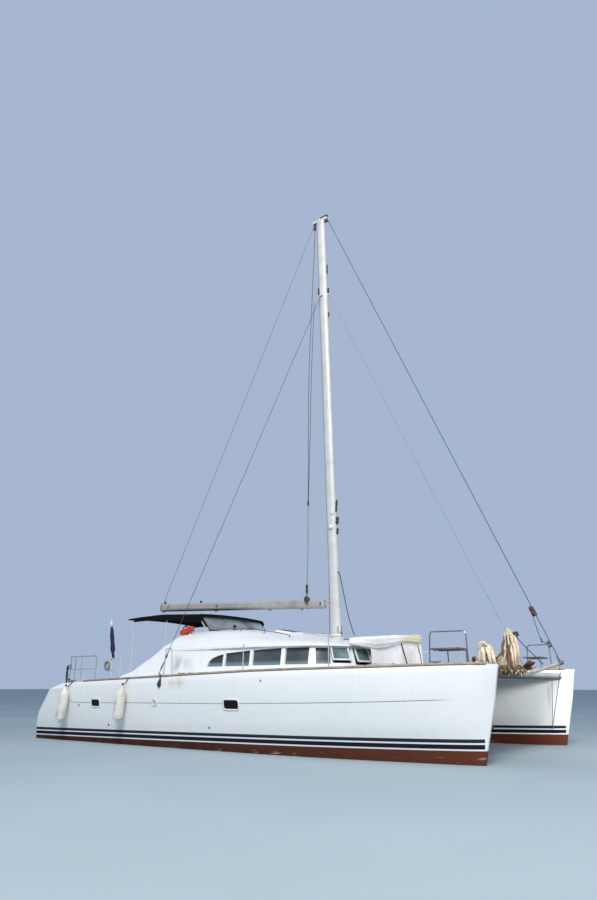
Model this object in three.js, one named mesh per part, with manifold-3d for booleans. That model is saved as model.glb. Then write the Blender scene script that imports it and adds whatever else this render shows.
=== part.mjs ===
// Sailing catamaran afloat, its boom bare and its headsail dropped on the foredeck.
// Millimetres. +X is forward, +Y is port, +Z is up.
// The origin is on the waterline, midships, on the boat's centre plane.
import * as THREE from "three";
import { mergeVertices } from "three/addons/utils/BufferGeometryUtils.js";
import Module from "manifold-3d";

const wasm = await Module();
wasm.setup();

// Driving sizes
const SEAT_GAP = 0.4;
const SIDES = { starboard: -1, port: 1 };
const HULL_Y = 2550;
const STERN_X = -5970;
const STEM_X = 6050;
const DECK_STERN_X = -4800;
const DECK_STEM_X = 6440;
const STEM_HALF = 28;
const DECK_CROWN = 35;
const CROWN_FULL_HALF = 400;
const SOLE_Z = 840;
const LIP_Z = 1555;
const TUNNEL_Z = 710;
const BULKHEAD_X = -1640;
const ROOF_AFT_X = -2100;
const WALL = 45;
const MAST = { baseX: 1430, baseZ: 2330, topX: 1130, topZ: 15210, halfLength: 145, halfWidth: 95 };
const HOUNDS_Z = 12400;
const CHAINPLATE = { x: -1100, y: 3560, z: 1545 };
const CROSSBEAM = { x: 6120, z: 1500, radius: 75 };
const SPRIT_TIP = { x: 6850, z: 1745 };
const BOOM = { noseX: 1100, noseZ: 3290, endX: -4900, endZ: 3560, depth: 225, width: 150 };

const group = new THREE.Group();
const LOOKS = {
  gelcoat: { color: 0xf1f2ee, roughness: 0.35, metalness: 0.0 },
  antifouling: { color: 0x6e2c26, roughness: 0.8, metalness: 0.0 },
  glass: { color: 0x1f2a2c, roughness: 0.1, metalness: 0.0 },
  steel: { color: 0xb9bcbc, roughness: 0.3, metalness: 1.0 },
  bronze: { color: 0x8a6a3c, roughness: 0.4, metalness: 1.0 },
  alloy: { color: 0xd8d5c8, roughness: 0.45, metalness: 0.3 },
  beamGrey: { color: 0x4b4f52, roughness: 0.5, metalness: 0.4 },
  canvasBlack: { color: 0x14161a, roughness: 0.9, metalness: 0.0 },
  canvasWhite: { color: 0xe9e6de, roughness: 0.9, metalness: 0.0 },
  screenGrey: { color: 0x7e8b90, roughness: 0.5, metalness: 0.0 },
  sailCloth: { color: 0xd9c9a6, roughness: 0.9, metalness: 0.0 },
  teak: { color: 0x7a4b2c, roughness: 0.7, metalness: 0.0 },
  rust: { color: 0x6d3b22, roughness: 0.9, metalness: 0.2 },
  fender: { color: 0xf0efe6, roughness: 0.6, metalness: 0.0 },
  orange: { color: 0xd8462a, roughness: 0.7, metalness: 0.0 },
  blue: { color: 0x1c2d6b, roughness: 0.8, metalness: 0.0 },
  black: { color: 0x1b1c1e, roughness: 0.6, metalness: 0.0 },
  net: { color: 0x2b2d30, roughness: 0.9, metalness: 0.0 },
};

// Solids and booleans

// A closed solid from any closed geometry, facing out.
function solid(geometry) {
  const plain = geometry.clone();
  plain.deleteAttribute("normal");
  plain.deleteAttribute("uv");
  const merged = mergeVertices(plain, 1e-3);
  const vertProperties = Float32Array.from(merged.attributes.position.array);
  const triVerts = Uint32Array.from(merged.index.array);
  let volume = 0;
  const corner = [0, 1, 2].map(() => new THREE.Vector3());
  for (let i = 0; i < triVerts.length; i += 3) {
    corner.forEach((v, k) => v.fromArray(vertProperties, 3 * triVerts[i + k]));
    volume += corner[0].dot(corner[1].clone().cross(corner[2]));
  }
  if (volume < 0) {
    for (let i = 0; i < triVerts.length; i += 3) {
      [triVerts[i + 1], triVerts[i + 2]] = [triVerts[i + 2], triVerts[i + 1]];
    }
  }
  return new wasm.Manifold(new wasm.Mesh({ numProp: 3, vertProperties, triVerts }));
}

const union = (...solids) => solids.reduce((a, b) => a.add(b));

// What is left of a piece once a neighbour, shifted a hair towards it, is cut away.
function seated(piece, neighbour, dx = 0, dy = 0, dz = SEAT_GAP) {
  return piece.subtract(neighbour.translate([dx, dy, dz]));
}

// What is left once a neighbour, grown a hair along each axis, is cut away.
function clearOf(piece, neighbour) {
  const shifts = [[1, 0, 0], [-1, 0, 0], [0, 1, 0], [0, -1, 0], [0, 0, 1], [0, 0, -1]];
  return shifts.reduce((left, s) => left.subtract(neighbour.translate(s.map((c) => c * SEAT_GAP))), piece);
}

function add(name, piece, look) {
  const mesh = piece.getMesh();
  const geometry = new THREE.BufferGeometry();
  geometry.setAttribute("position", new THREE.BufferAttribute(mesh.vertProperties, 3));
  geometry.setIndex(new THREE.BufferAttribute(mesh.triVerts, 1));
  geometry.computeVertexNormals();
  const node = new THREE.Mesh(geometry, new THREE.MeshStandardMaterial(LOOKS[look]));
  node.name = name;
  group.add(node);
  return piece;
}

// Basic forms

const v3 = (x, y, z) => new THREE.Vector3(x, y, z);

function slab(x0, x1, y0, y1, z0, z1) {
  const box = new THREE.BoxGeometry(x1 - x0, y1 - y0, z1 - z0);
  box.translate((x0 + x1) / 2, (y0 + y1) / 2, (z0 + z1) / 2);
  return solid(box);
}

// A straight round bar, tapering from radius to endRadius.
function rod(from, to, radius, sides = 10, endRadius = radius) {
  const along = to.clone().sub(from);
  const bar = new THREE.CylinderGeometry(endRadius, radius, along.length(), sides);
  bar.applyQuaternion(new THREE.Quaternion().setFromUnitVectors(v3(0, 1, 0), along.clone().normalize()));
  bar.translate(...from.clone().add(to).multiplyScalar(0.5).toArray());
  return solid(bar);
}

// A round tube through the points, mitred at each bend.
function railing(points, radius, sides = 6) {
  const steps = points.slice(1).map((point, i) => point.clone().sub(points[i]).normalize());
  const start = Math.abs(steps[0].z) > 0.9 ? v3(1, 0, 0) : v3(0, 0, 1);
  const across = start.cross(steps[0]).normalize();
  let ring = [];
  for (let k = 0; k < sides; k += 1) {
    ring.push(across.clone().applyAxisAngle(steps[0], (k * 2 * Math.PI) / sides).multiplyScalar(radius));
  }
  const rings = points.map((point, i) => {
    const before = steps[Math.max(0, i - 1)];
    const after = steps[Math.min(steps.length - 1, i)];
    const cut = before.clone().add(after).normalize();
    ring = ring.map((offset) => offset.clone().addScaledVector(before, -offset.dot(cut) / before.dot(cut)));
    return ring.map((offset) => offset.clone().add(point));
  });
  return loft(rings);
}

// A side profile of [x, z] points drawn through from y0 to y1.
function sideProfile(points, y0, y1) {
  const shape = new THREE.Shape(points.map(([x, z]) => new THREE.Vector2(x, z)));
  const form = new THREE.ExtrudeGeometry(shape, { depth: y1 - y0, bevelEnabled: false });
  form.rotateX(Math.PI / 2);
  form.translate(0, y1, 0);
  return solid(form);
}

// A closed form through rings of equal point count, its ends closed by fans.
function loft(rings) {
  const count = rings[0].length;
  const points = rings.flat();
  const faces = [];
  for (let r = 0; r + 1 < rings.length; r += 1) {
    for (let i = 0; i < count; i += 1) {
      const a = r * count + i;
      const b = r * count + ((i + 1) % count);
      faces.push(a, b, b + count, a, b + count, a + count);
    }
  }
  const close = (ring, first, flip) => {
    const centre = ring.reduce((sum, p) => sum.add(p), v3(0, 0, 0)).multiplyScalar(1 / count);
    points.push(centre);
    for (let i = 0; i < count; i += 1) {
      const edge = [first + i, first + ((i + 1) % count)];
      faces.push(points.length - 1, ...(flip ? edge.reverse() : edge));
    }
  };
  close(rings[0], 0, true);
  close(rings.at(-1), (rings.length - 1) * count, false);
  const form = new THREE.BufferGeometry().setFromPoints(points);
  form.setIndex(faces);
  return solid(form);
}

// Straight-line reading of a table of [place, value] rows.
function along(rows, place) {
  if (place <= rows[0][0]) return rows[0][1];
  for (let i = 1; i < rows.length; i += 1) {
    if (place <= rows[i][0]) {
      const t = (place - rows[i - 1][0]) / (rows[i][0] - rows[i - 1][0]);
      return rows[i - 1][1] + t * (rows[i][1] - rows[i - 1][1]);
    }
  }
  return rows.at(-1)[1];
}

// Hulls

// [x, deck edge height]
const SHEER = [
  [-4800, 1350], [-3800, 1402], [-2450, 1442], [-1300, 1478], [-200, 1520],
  [1300, 1572], [2300, 1594], [4300, 1620], [5700, 1648], [6440, 1660],
];
// [share of the length from the stern, half-breadth]
const DECK_BREADTH = [
  [0, 920], [0.08, 945], [0.18, 975], [0.32, 1000], [0.5, 1000], [0.66, 985], [0.76, 930],
  [0.84, 830], [0.9, 700], [0.94, 555], [0.97, 390], [0.988, 230], [1, STEM_HALF],
];
const WATER_BREADTH = [
  [0, 640], [0.1, 660], [0.25, 680], [0.45, 690], [0.6, 655], [0.72, 570], [0.82, 430],
  [0.9, 270], [0.95, 160], [0.98, 85], [1, STEM_HALF],
];
const KEEL_DEPTH = [
  [0, 70], [0.12, 260], [0.3, 480], [0.5, 560], [0.7, 540], [0.85, 450], [0.95, 340], [1, 230],
];
// height at stern and stem, or a share of the canoe body's depth; x at stern and stem;
// share of the way from the waterline's half-breadth to the deck's
const HULL_LEVELS = [
  { depth: 0.88, stern: -5760, stem: 5640, share: 0.55, below: true },
  { depth: 0.5, stern: -5890, stem: 5860, share: 0.86, below: true },
  { z: [0, 0], stern: STERN_X, stem: STEM_X, share: 0 },
  { z: [370, 400], stern: -5850, stem: 6150, share: 0.42 },
  { z: [650, 720], stern: -5730, stem: 6230, share: 0.64 },
  { z: [910, 1080], stern: -5490, stem: 6320, share: 0.82 },
  { z: [1220, 1530], stern: -5220, stem: 6405, share: 1 },
  { z: [1350, 1660], stern: DECK_STERN_X, stem: DECK_STEM_X, share: 1, inset: 45 },
];
const HULL_STATIONS = [
  0, 0.04, 0.09, 0.16, 0.25, 0.37, 0.5, 0.62, 0.72, 0.8, 0.86, 0.91, 0.945, 0.97, 0.988, 1,
];
const STERN_SHARE = 0.25;
const BOW_SHARE = 0.7;

// Where a level lies at a share of the length: its ends follow the stern's and stem's profiles.
function levelX(level, u) {
  const sternPull = Math.max(0, 1 - u / STERN_SHARE);
  const bowPull = Math.max(0, (u - BOW_SHARE) / (1 - BOW_SHARE)) ** 1.5;
  const base = STERN_X + (STEM_X - STERN_X) * u;
  return base + sternPull * (level.stern - STERN_X) + bowPull * (level.stem - STEM_X);
}

function levelPoint(level, u) {
  const x = levelX(level, u);
  const water = along(WATER_BREADTH, u);
  if (level.below) {
    return [x, Math.max(STEM_HALF, water) * level.share, -level.depth * along(KEEL_DEPTH, u)];
  }
  const deck = along(DECK_BREADTH, u);
  const wide = water + level.share * (deck - water);
  const half = Math.max(STEM_HALF * 0.8, wide - (level.inset ?? 0));
  const top = along(SHEER, levelX(HULL_LEVELS.at(-1), u));
  const rise = level.z[0] + (level.z[1] - level.z[0]) * u;
  const z = level.inset ? top : Math.min(rise, top - 100);
  return [x, half, z];
}

const KEEL_LINE = { stern: -5650, stem: 5450 };
function hullRing(u, side) {
  const rows = HULL_LEVELS.map((level) => levelPoint(level, u));
  const keel = v3(levelX(KEEL_LINE, u), side * HULL_Y, -along(KEEL_DEPTH, u));
  const [deckX, deckHalf, deckTop] = rows.at(-1);
  const crown = v3(deckX, side * HULL_Y, deckTop + DECK_CROWN * Math.min(1, deckHalf / CROWN_FULL_HALF));
  const right = rows.map(([x, half, z]) => v3(x, side * HULL_Y + half, z));
  const left = rows.map(([x, half, z]) => v3(x, side * HULL_Y - half, z)).reverse();
  return [keel, ...right, crown, ...left];
}

// The hull's skin: its ends are closed by strips from side to side that keep their profiles.
function hullForm(side) {
  const rings = HULL_STATIONS.map((u) => hullRing(u, side));
  const count = rings[0].length;
  const faces = [];
  for (let r = 0; r + 1 < rings.length; r += 1) {
    for (let i = 0; i < count; i += 1) {
      const a = r * count + i;
      const b = r * count + ((i + 1) % count);
      faces.push(a, b, b + count, a, b + count, a + count);
    }
  }
  const levels = HULL_LEVELS.length;
  [[0, true], [(rings.length - 1) * count, false]].forEach(([first, flip]) => {
    const face = (...corners) => {
      const placed = corners.map((c) => first + c);
      faces.push(...(flip ? placed.reverse() : placed));
    };
    face(0, 1, count - 1);
    for (let k = 1; k < levels; k += 1) {
      face(k, k + 1, count - k - 1);
      face(k, count - k - 1, count - k);
    }
    face(levels, levels + 1, levels + 2);
  });
  const form = new THREE.BufferGeometry().setFromPoints(rings.flat());
  form.setIndex(faces);
  return solid(form);
}

// Stern steps, cut down into each hull: tread height, its forward end and its aft end.
const STEPS = [
  { z: 1080, from: -4700, to: -5030 },
  { z: 810, from: -5030, to: -5340 },
  { z: 540, from: -5340, to: -5620 },
  { z: 270, from: -5620, to: -6100 },
];
const STEP_HALF = 560;

// The boss under the hull that the rudder stock turns in.
const RUDDER_BOSS = { x: -4820, z: -262, radius: 62 };

function hull(side) {
  const y = side * HULL_Y;
  const boss = rod(v3(RUDDER_BOSS.x, y, RUDDER_BOSS.z), v3(RUDDER_BOSS.x, y, -120), RUDDER_BOSS.radius, 14);
  const wells = STEPS.map((step) => {
    return slab(step.to - 1000, step.from, y - STEP_HALF, y + STEP_HALF, step.z, 1700);
  });
  return wells.reduce((body, well) => body.subtract(well), hullForm(side)).add(boss);
}

const hulls = {};
Object.entries(SIDES).forEach(([name, side]) => {
  hulls[name] = add(`hull_${name}`, hull(side), "gelcoat");
});

// A piece cut to the decks of both hulls, lying a hair above them.
const onDecks = (piece) => seated(seated(piece, hulls.starboard), hulls.port);
// A piece between the hulls, cut a hair short of their inner sides.
function betweenHulls(piece) {
  return seated(seated(piece, hulls.starboard, 0, SEAT_GAP, 0), hulls.port, 0, -SEAT_GAP, 0);
}

// Keels, rudders and drives

// A thin symmetrical fin: chord x0 to x1 at each height, with a half thickness.
function fin(rows, y) {
  const shape = [[0, 0], [0.12, 0.8], [0.35, 1], [0.7, 0.6], [1, 0.06]];
  return loft(rows.map(({ z, lead, trail, half }) => {
    const upper = shape.map(([c, t]) => v3(lead + c * (trail - lead), y + t * half, z));
    const lower = shape.slice(1).map(([c, t]) => v3(lead + c * (trail - lead), y - t * half, z)).reverse();
    return [...upper, ...lower];
  }));
}

const KEEL_ROWS = [
  { z: -400, lead: 1650, trail: -1250, half: 170 },
  { z: -800, lead: 1350, trail: -1150, half: 130 },
  { z: -1200, lead: 1000, trail: -1000, half: 75 },
];
const RUDDER = { stockX: RUDDER_BOSS.x, stockRadius: 35, topZ: -310, bottomZ: -1080 };
const RUDDER_ROWS = [
  { z: RUDDER.topZ, lead: -4650, trail: -5190, half: 42 },
  { z: -700, lead: -4660, trail: -5140, half: 36 },
  { z: RUDDER.bottomZ, lead: -4680, trail: -5040, half: 22 },
];
const DRIVE = { x: -3700, shaftZ: -760, propRadius: 205, bladeX: -3960 };

function propeller(y) {
  const hubFront = v3(DRIVE.bladeX + 50 - SEAT_GAP, y, DRIVE.shaftZ);
  const hub = rod(hubFront, v3(DRIVE.bladeX - 60, y, DRIVE.shaftZ), 42, 12, 22);
  const blades = [0, 1, 2].map((k) => {
    const blade = new THREE.CylinderGeometry(75, 75, 14, 14);
    blade.scale(1, 1, 0.95);
    blade.rotateZ(Math.PI / 2);
    blade.translate(0, 0, 104);
    blade.rotateZ(0.55);
    blade.rotateX((k * 2 * Math.PI) / 3);
    blade.translate(DRIVE.bladeX, y, DRIVE.shaftZ);
    return solid(blade);
  });
  return union(hub, ...blades);
}

Object.entries(SIDES).forEach(([name, side]) => {
  const y = side * HULL_Y;
  add(`keel_${name}`, seated(fin(KEEL_ROWS, y), hulls[name], 0, 0, -SEAT_GAP), "antifouling");
  const stockTop = v3(RUDDER.stockX, y, RUDDER_BOSS.z - SEAT_GAP);
  const stock = rod(v3(RUDDER.stockX, y, RUDDER.bottomZ + 200), stockTop, RUDDER.stockRadius, 14);
  add(`rudder_${name}`, union(fin(RUDDER_ROWS, y), stock), "antifouling");
  const leg = fin([
    { z: -300, lead: DRIVE.x + 150, trail: DRIVE.x - 170, half: 70 },
    { z: DRIVE.shaftZ, lead: DRIVE.x + 60, trail: DRIVE.x - 150, half: 45 },
  ], y);
  const pod = rod(v3(DRIVE.x + 150, y, DRIVE.shaftZ), v3(DRIVE.bladeX + 50, y, DRIVE.shaftZ), 40, 14, 60);
  add(`drive_leg_${name}`, seated(union(leg, pod), hulls[name], 0, 0, -SEAT_GAP), "black");
  add(`propeller_${name}`, propeller(y), "bronze");
});

// Bridgedeck between the hulls, with the saloon's and cockpit's sole in it

const BRIDGEDECK_OUTSIDE = [
  [2960, 1555], [3010, 1400], [2920, 1120], [2650, 860], [2200, 745], [1500, TUNNEL_Z], [-4300, TUNNEL_Z],
  [-4750, 800], [-4930, 1000], [-4965, 1335], [-4620, 1360], [-4555, 1342], [-4560, SOLE_Z],
  [2350, SOLE_Z], [2620, 1060], [2780, 1555],
];
const bridgedeck = add("bridgedeck", betweenHulls(sideProfile(BRIDGEDECK_OUTSIDE, -1800, 1800)), "gelcoat");

// Coachroof: a shell stacked from plan outlines

// height, forward end, half width and squareness of the front; the brow fades to its aft half width
const ROOF_LEVELS = [
  { z: 1380, front: 2930, half: 2510, power: 4 },
  { z: 1700, front: 2900, half: 2490, power: 4 },
  { z: 2110, front: 2800, half: 2440, power: 4 },
  { z: 2118, front: 2870, half: 2492, power: 4, aftHalf: 2440, brow: true },
  { z: 2165, front: 2865, half: 2490, power: 4, aftHalf: 2436, brow: true },
  { z: 2220, front: 2690, half: 2430, power: 3.8 },
  { z: 2285, front: 2150, half: 2340, power: 3.4 },
  { z: 2360, front: 1600, half: 2230, power: 3.2 },
  { z: 2440, front: 1200, half: 2090, power: 3 },
  { z: 2520, front: 850, half: 1920, power: 3 },
  { z: 2590, front: 400, half: 1730, power: 3 },
  { z: 2635, front: -100, half: 1450, power: 3 },
  { z: 2660, front: -700, half: 1000, power: 3 },
];
const ROOF_BOW = 2600;
const ROOF_STEPS = 28;

// One plan outline, inset all round; its front is a superellipse and its aft end straight.
function roofRing(level, inset, drop, aft = ROOF_AFT_X) {
  const front = level.front - inset;
  const half = level.half - inset;
  const aftHalf = (level.aftHalf ?? level.half) - inset;
  const reach = Math.min(ROOF_BOW, 0.75 * (front - ROOF_AFT_X));
  const points = [];
  for (let i = 0; i <= ROOF_STEPS; i += 1) {
    const angle = (i / ROOF_STEPS - 0.5) * Math.PI;
    const c = Math.max(0, Math.cos(angle)) ** (2 / level.power);
    const s = Math.sign(angle) * Math.abs(Math.sin(angle)) ** (2 / level.power);
    points.push(v3(front - reach + reach * c, half * s, level.z - drop));
  }
  points.push(v3(aft, aftHalf, level.z - drop), v3(aft, -aftHalf, level.z - drop));
  return points;
}

const roofBody = loft(ROOF_LEVELS.map((level) => roofRing(level, 0, 0)));
const innerLevels = ROOF_LEVELS.filter((level) => !level.brow);

// The room under the roof, with its skin this thick and its aft end open.
function roomBody(skin) {
  const rings = innerLevels.map((level, i) => roofRing(level, skin, i === 0 ? 200 : skin, ROOF_AFT_X - 20));
  return loft(rings).intersect(slab(ROOF_AFT_X - 10, 3000, -2600, 2600, 1100, 2700));
}

// Side windows: x of each end, height of the sill, height of the top at the aft and forward end
const SIDE_WINDOWS = [
  { aft: -640, fore: -140, sill: 1720, topAft: 1850, topFore: 1995, rounded: true },
  { aft: -85, fore: 655, sill: 1722, topAft: 2010, topFore: 2060 },
  { aft: 735, fore: 1520, sill: 1728, topAft: 2062, topFore: 2090 },
  { aft: 1610, fore: 2150, sill: 1735, topAft: 2090, topFore: 2095 },
];
// Corner and front windows on the starboard side: y of each end, sill and top
const FRONT_WINDOWS = [
  { name: "corner", from: -2225, to: -2015, sill: 1745, top: 2085 },
  { name: "outer", from: -1960, to: -1520, sill: 1765, top: 2098, opens: true },
  { name: "inner", from: -1400, to: -870, sill: 1735, top: 2098, opens: true },
];

// Where the front of a plan outline lies at a given y.
function frontX(level, y) {
  const reach = Math.min(ROOF_BOW, 0.75 * (level.front - ROOF_AFT_X));
  return level.front - reach + reach * (1 - Math.abs(y / level.half) ** level.power) ** (1 / level.power);
}
const SILL_LEVEL = ROOF_LEVELS[1];
const HEAD_LEVEL = ROOF_LEVELS[2];

// The two ends of a window in plan, at one level of the wall.
function windowChord(w, level) {
  return [v3(frontX(level, w.from), w.from, 0), v3(frontX(level, w.to), w.to, 0)];
}

function sideWindow(w, side, reach = 720) {
  const points = w.rounded
    ? [[w.aft, w.sill], [w.fore, w.sill], [w.fore, w.topFore], [w.aft + 330, w.topFore - 30],
      [w.aft + 170, w.topFore - 80], [w.aft + 60, w.topAft]]
    : [[w.aft, w.sill], [w.fore, w.sill], [w.fore, w.topFore], [w.aft, w.topAft]];
  const y = side * 2460;
  return sideProfile(points, y - reach / 2, y + reach / 2);
}

// A box as wide as the window, cut square through the wall.
function frontWindow(w, side, grow = 0, thick = 500) {
  const [from, to] = windowChord(w, SILL_LEVEL);
  const chord = to.clone().sub(from);
  const box = new THREE.BoxGeometry(chord.length() + 2 * grow, thick, w.top - w.sill + 2 * grow);
  box.rotateZ(Math.atan2(chord.y, chord.x));
  box.translate((from.x + to.x) / 2, (from.y + to.y) / 2, (w.top + w.sill) / 2);
  if (side > 0) box.scale(1, -1, 1);
  return solid(box);
}

// Cockpit coaming: the fin that runs down aft from the roof's corner, in line with the roof's side.
const COAMING = [
  [-2050, 1330], [-2050, 2330], [-2100, 2300], [-2240, 2175], [-2580, 1967], [-2950, 1780],
  [-3200, 1645], [-3600, 1540], [-3850, 1430], [-3850, 1330],
];
const COAMING_INSIDE_Y = 2230;
const sideLine = loft(innerLevels.map((level) => roofRing(level, 0, 0, -4000)));

const room = roomBody(WALL);
let shell = roofBody.subtract(room);
Object.values(SIDES).forEach((side) => {
  const [y0, y1] = side > 0 ? [COAMING_INSIDE_Y, 2600] : [-2600, -COAMING_INSIDE_Y];
  shell = shell.add(sideProfile(COAMING, y0, y1).intersect(sideLine).subtract(room));
  SIDE_WINDOWS.forEach((w) => {
    shell = shell.subtract(sideWindow(w, side));
  });
  FRONT_WINDOWS.forEach((w) => {
    shell = shell.subtract(frontWindow(w, side));
  });
});
shell = shell.subtract(slab(-2300, 3200, -1645, 1645, 1300, LIP_Z + SEAT_GAP));
const coachroof = add("coachroof", onDecks(shell), "gelcoat");

// Glazing: one dark band behind the wall, open where the two front panes stand ajar.
const GLASS = 10;
let band = roomBody(WALL + SEAT_GAP).subtract(roomBody(WALL + SEAT_GAP + GLASS));
band = band.intersect(slab(-760, 3000, -2600, 2600, 1690, 2130));
FRONT_WINDOWS.filter((w) => w.opens).forEach((w) => {
  band = band.subtract(frontWindow(w, SIDES.starboard, -12));
});
add("glazing", band, "glass");

// The two front panes, hinged at the top and held ajar.
const PANE = { thick: 22, ajar: 0.38, lap: 8, proud: 14 };
FRONT_WINDOWS.filter((w) => w.opens).forEach((w) => {
  const [from, to] = windowChord(w, HEAD_LEVEL);
  const chord = to.clone().sub(from);
  const height = w.top - w.sill - 16;
  const pane = new THREE.BoxGeometry(chord.length() - 30, PANE.thick, height);
  pane.translate(0, -PANE.proud, -height / 2);
  pane.rotateX(-PANE.ajar);
  pane.rotateZ(Math.atan2(chord.y, chord.x));
  pane.translate((from.x + to.x) / 2, (from.y + to.y) / 2, w.top + PANE.lap);
  add(`front_pane_${w.name}`, clearOf(solid(pane), coachroof), "glass");
});

// Saloon bulkhead with its sliding door

const BULKHEAD = { x: BULKHEAD_X + 5, thick: 45, half: 2420 };
const DOOR = { y0: -640, y1: 110, sill: 900, head: 2380, thick: 28, frame: 90, clearance: 5 };
const PANE_THICK = 8;
// y of each end, sill and top of the two fixed lights in the bulkhead
const BULKHEAD_LIGHTS = [
  { y0: 350, y1: 1350, sill: 1560, top: 2200 },
  { y0: -1400, y1: -820, sill: 1560, top: 2200 },
];

// A panel with a light in it: both faces are let in so that a thin pane is left.
function withLight(wall, x, thick, { y0, y1, sill, top }) {
  const depth = (thick - PANE_THICK) / 2;
  const outside = slab(x - 1, x + depth, y0, y1, sill, top);
  const inside = slab(x + thick - depth, x + thick + 1, y0, y1, sill, top);
  return wall.subtract(outside).subtract(inside);
}

const roomInside = roomBody(WALL + SEAT_GAP);
let panel = slab(
  BULKHEAD.x, BULKHEAD.x + BULKHEAD.thick, -BULKHEAD.half, BULKHEAD.half, SOLE_Z + SEAT_GAP, 2640);
const belowDecks = slab(BULKHEAD_X, BULKHEAD_X + 200, -1800, 1800, SOLE_Z, LIP_Z + 5);
panel = panel.intersect(union(roomInside, belowDecks));
panel = panel.subtract(slab(-1800, -1500, DOOR.y0 + 40, DOOR.y1 - 40, DOOR.sill, DOOR.head - 40));
BULKHEAD_LIGHTS.forEach((light) => {
  panel = withLight(panel, BULKHEAD.x, BULKHEAD.thick, light);
});
add("saloon_bulkhead", betweenHulls(onDecks(panel)), "gelcoat");
const doorX = BULKHEAD.x + BULKHEAD.thick + DOOR.clearance;
const doorPanel = slab(doorX, doorX + DOOR.thick, DOOR.y0, DOOR.y1, SOLE_Z + 6, DOOR.head);
const doorRunner = slab(doorX + 9, doorX + 19, DOOR.y0 + 40, DOOR.y1 - 40, SOLE_Z + SEAT_GAP, SOLE_Z + 10);
const doorLight = { y0: DOOR.y0 + DOOR.frame, y1: DOOR.y1 - DOOR.frame, sill: 1150, top: DOOR.head - 110 };
add("saloon_door", union(withLight(doorPanel, doorX, DOOR.thick, doorLight), doorRunner), "glass");

// Saloon settee and table, seen through the windows
const settee = union(
  slab(-300, 1900, -1450, -950, SOLE_Z + SEAT_GAP, 1250),
  slab(1400, 1900, -960, 1100, SOLE_Z + SEAT_GAP, 1250),
  slab(1900 - 1, 2000, -1450, 1100, SOLE_Z + SEAT_GAP, 1500),
);
const tableLeg = slab(600, 700, -250, -150, SOLE_Z + SEAT_GAP, 1490);
const table = union(slab(150, 1200, -750, 350, 1480, 1515), tableLeg);
add("settee", settee, "canvasWhite");
add("saloon_table", table, "teak");

// Cockpit bench, helm console and wheel

const bench = union(
  slab(-4555, -4060, -1490, 1490, SOLE_Z + SEAT_GAP, 1270),
  slab(-4061, -3250, -1490, -1040, SOLE_Z + SEAT_GAP, 1270),
  slab(-4061, -3250, 1040, 1490, SOLE_Z + SEAT_GAP, 1270),
);
const benchBody = add("cockpit_bench", bench, "gelcoat");
const HELM = { x: -1980, y: 1080, hubX: -2160, hubZ: 1720, radius: 330 };
const consoleBox = slab(HELM.x - 120, HELM.x + 130, HELM.y - 330, HELM.y + 330, SOLE_Z + SEAT_GAP, 1840);
const shaftEnd = v3(HELM.hubX + 30 + SEAT_GAP, HELM.y, HELM.hubZ);
const wheelShaft = rod(v3(HELM.x - 110, HELM.y, HELM.hubZ), shaftEnd, 24, 14);
add("helm_console", union(consoleBox, wheelShaft), "gelcoat");

function steeringWheel() {
  const rim = new THREE.TorusGeometry(HELM.radius, 14, 6, 24);
  rim.rotateY(Math.PI / 2);
  const hub = new THREE.CylinderGeometry(48, 48, 60, 14);
  hub.rotateZ(Math.PI / 2);
  const parts = [solid(rim), solid(hub)];
  for (let k = 0; k < 5; k += 1) {
    const a = (k * 2 * Math.PI) / 5;
    parts.push(rod(v3(0, 0, 0), v3(0, HELM.radius * Math.sin(a), HELM.radius * Math.cos(a)), 9, 6));
  }
  return union(...parts).translate([HELM.hubX, HELM.y, HELM.hubZ]);
}
add("steering_wheel", steeringWheel(), "steel");

// Bimini: an arched canopy with a skirt, on a tube frame

const BIMINI = { half: 1300, camber: 45, thick: 26, skirt: 45, edge: 22 };
// [x, height of the canopy's edge], from aft to fore
const BIMINI_EDGE = [[-4930, 3140], [-4430, 3165], [-3620, 3188], [-3020, 3163], [-1960, 3107]];

// The canopy's form, inset all round and let down, this deep.
function canopyForm(inset, down, depth) {
  const rings = BIMINI_EDGE.map(([x, edgeZ], row) => {
    const end = row === 0 ? inset : row === BIMINI_EDGE.length - 1 ? -inset : 0;
    const top = [];
    const under = [];
    for (let i = 0; i <= 8; i += 1) {
      const t = -1 + i / 4;
      const z = edgeZ + BIMINI.camber * (1 - t * t) - down;
      top.push(v3(x + end, t * (BIMINI.half - inset), z));
      under.push(v3(x + end, t * (BIMINI.half - inset), z - depth));
    }
    return [...top, ...under.reverse()];
  });
  return loft(rings);
}
const pocket = canopyForm(BIMINI.edge, BIMINI.thick, 700);
// How deep each side's skirt hangs below the canopy's edge: [x, depth]
const SKIRT_DEPTH = [[-4926, 45], [-4650, 85], [-4430, 120], [-3620, 165], [-3020, 165], [-1964, 165]];
const skirtLine = (depthAt) => SKIRT_DEPTH.map(([x, depth]) => [x, along(BIMINI_EDGE, x) - depthAt(depth)]);
const skirtProfile = [...skirtLine(() => 12), ...skirtLine((depth) => depth).reverse()];
const canopyShell = canopyForm(0, 0, BIMINI.skirt).subtract(pocket);
const skirts = [[-1298, -1280], [1280, 1298]].map(([y0, y1]) => sideProfile(skirtProfile, y0, y1));
const bimini = add("bimini_canopy", union(canopyShell, ...skirts), "canvasBlack");

// Underside of the canopy.
function biminiUnder(x, y) {
  return along(BIMINI_EDGE, x) + BIMINI.camber * (1 - (y / BIMINI.half) ** 2) - BIMINI.thick;
}

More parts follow.
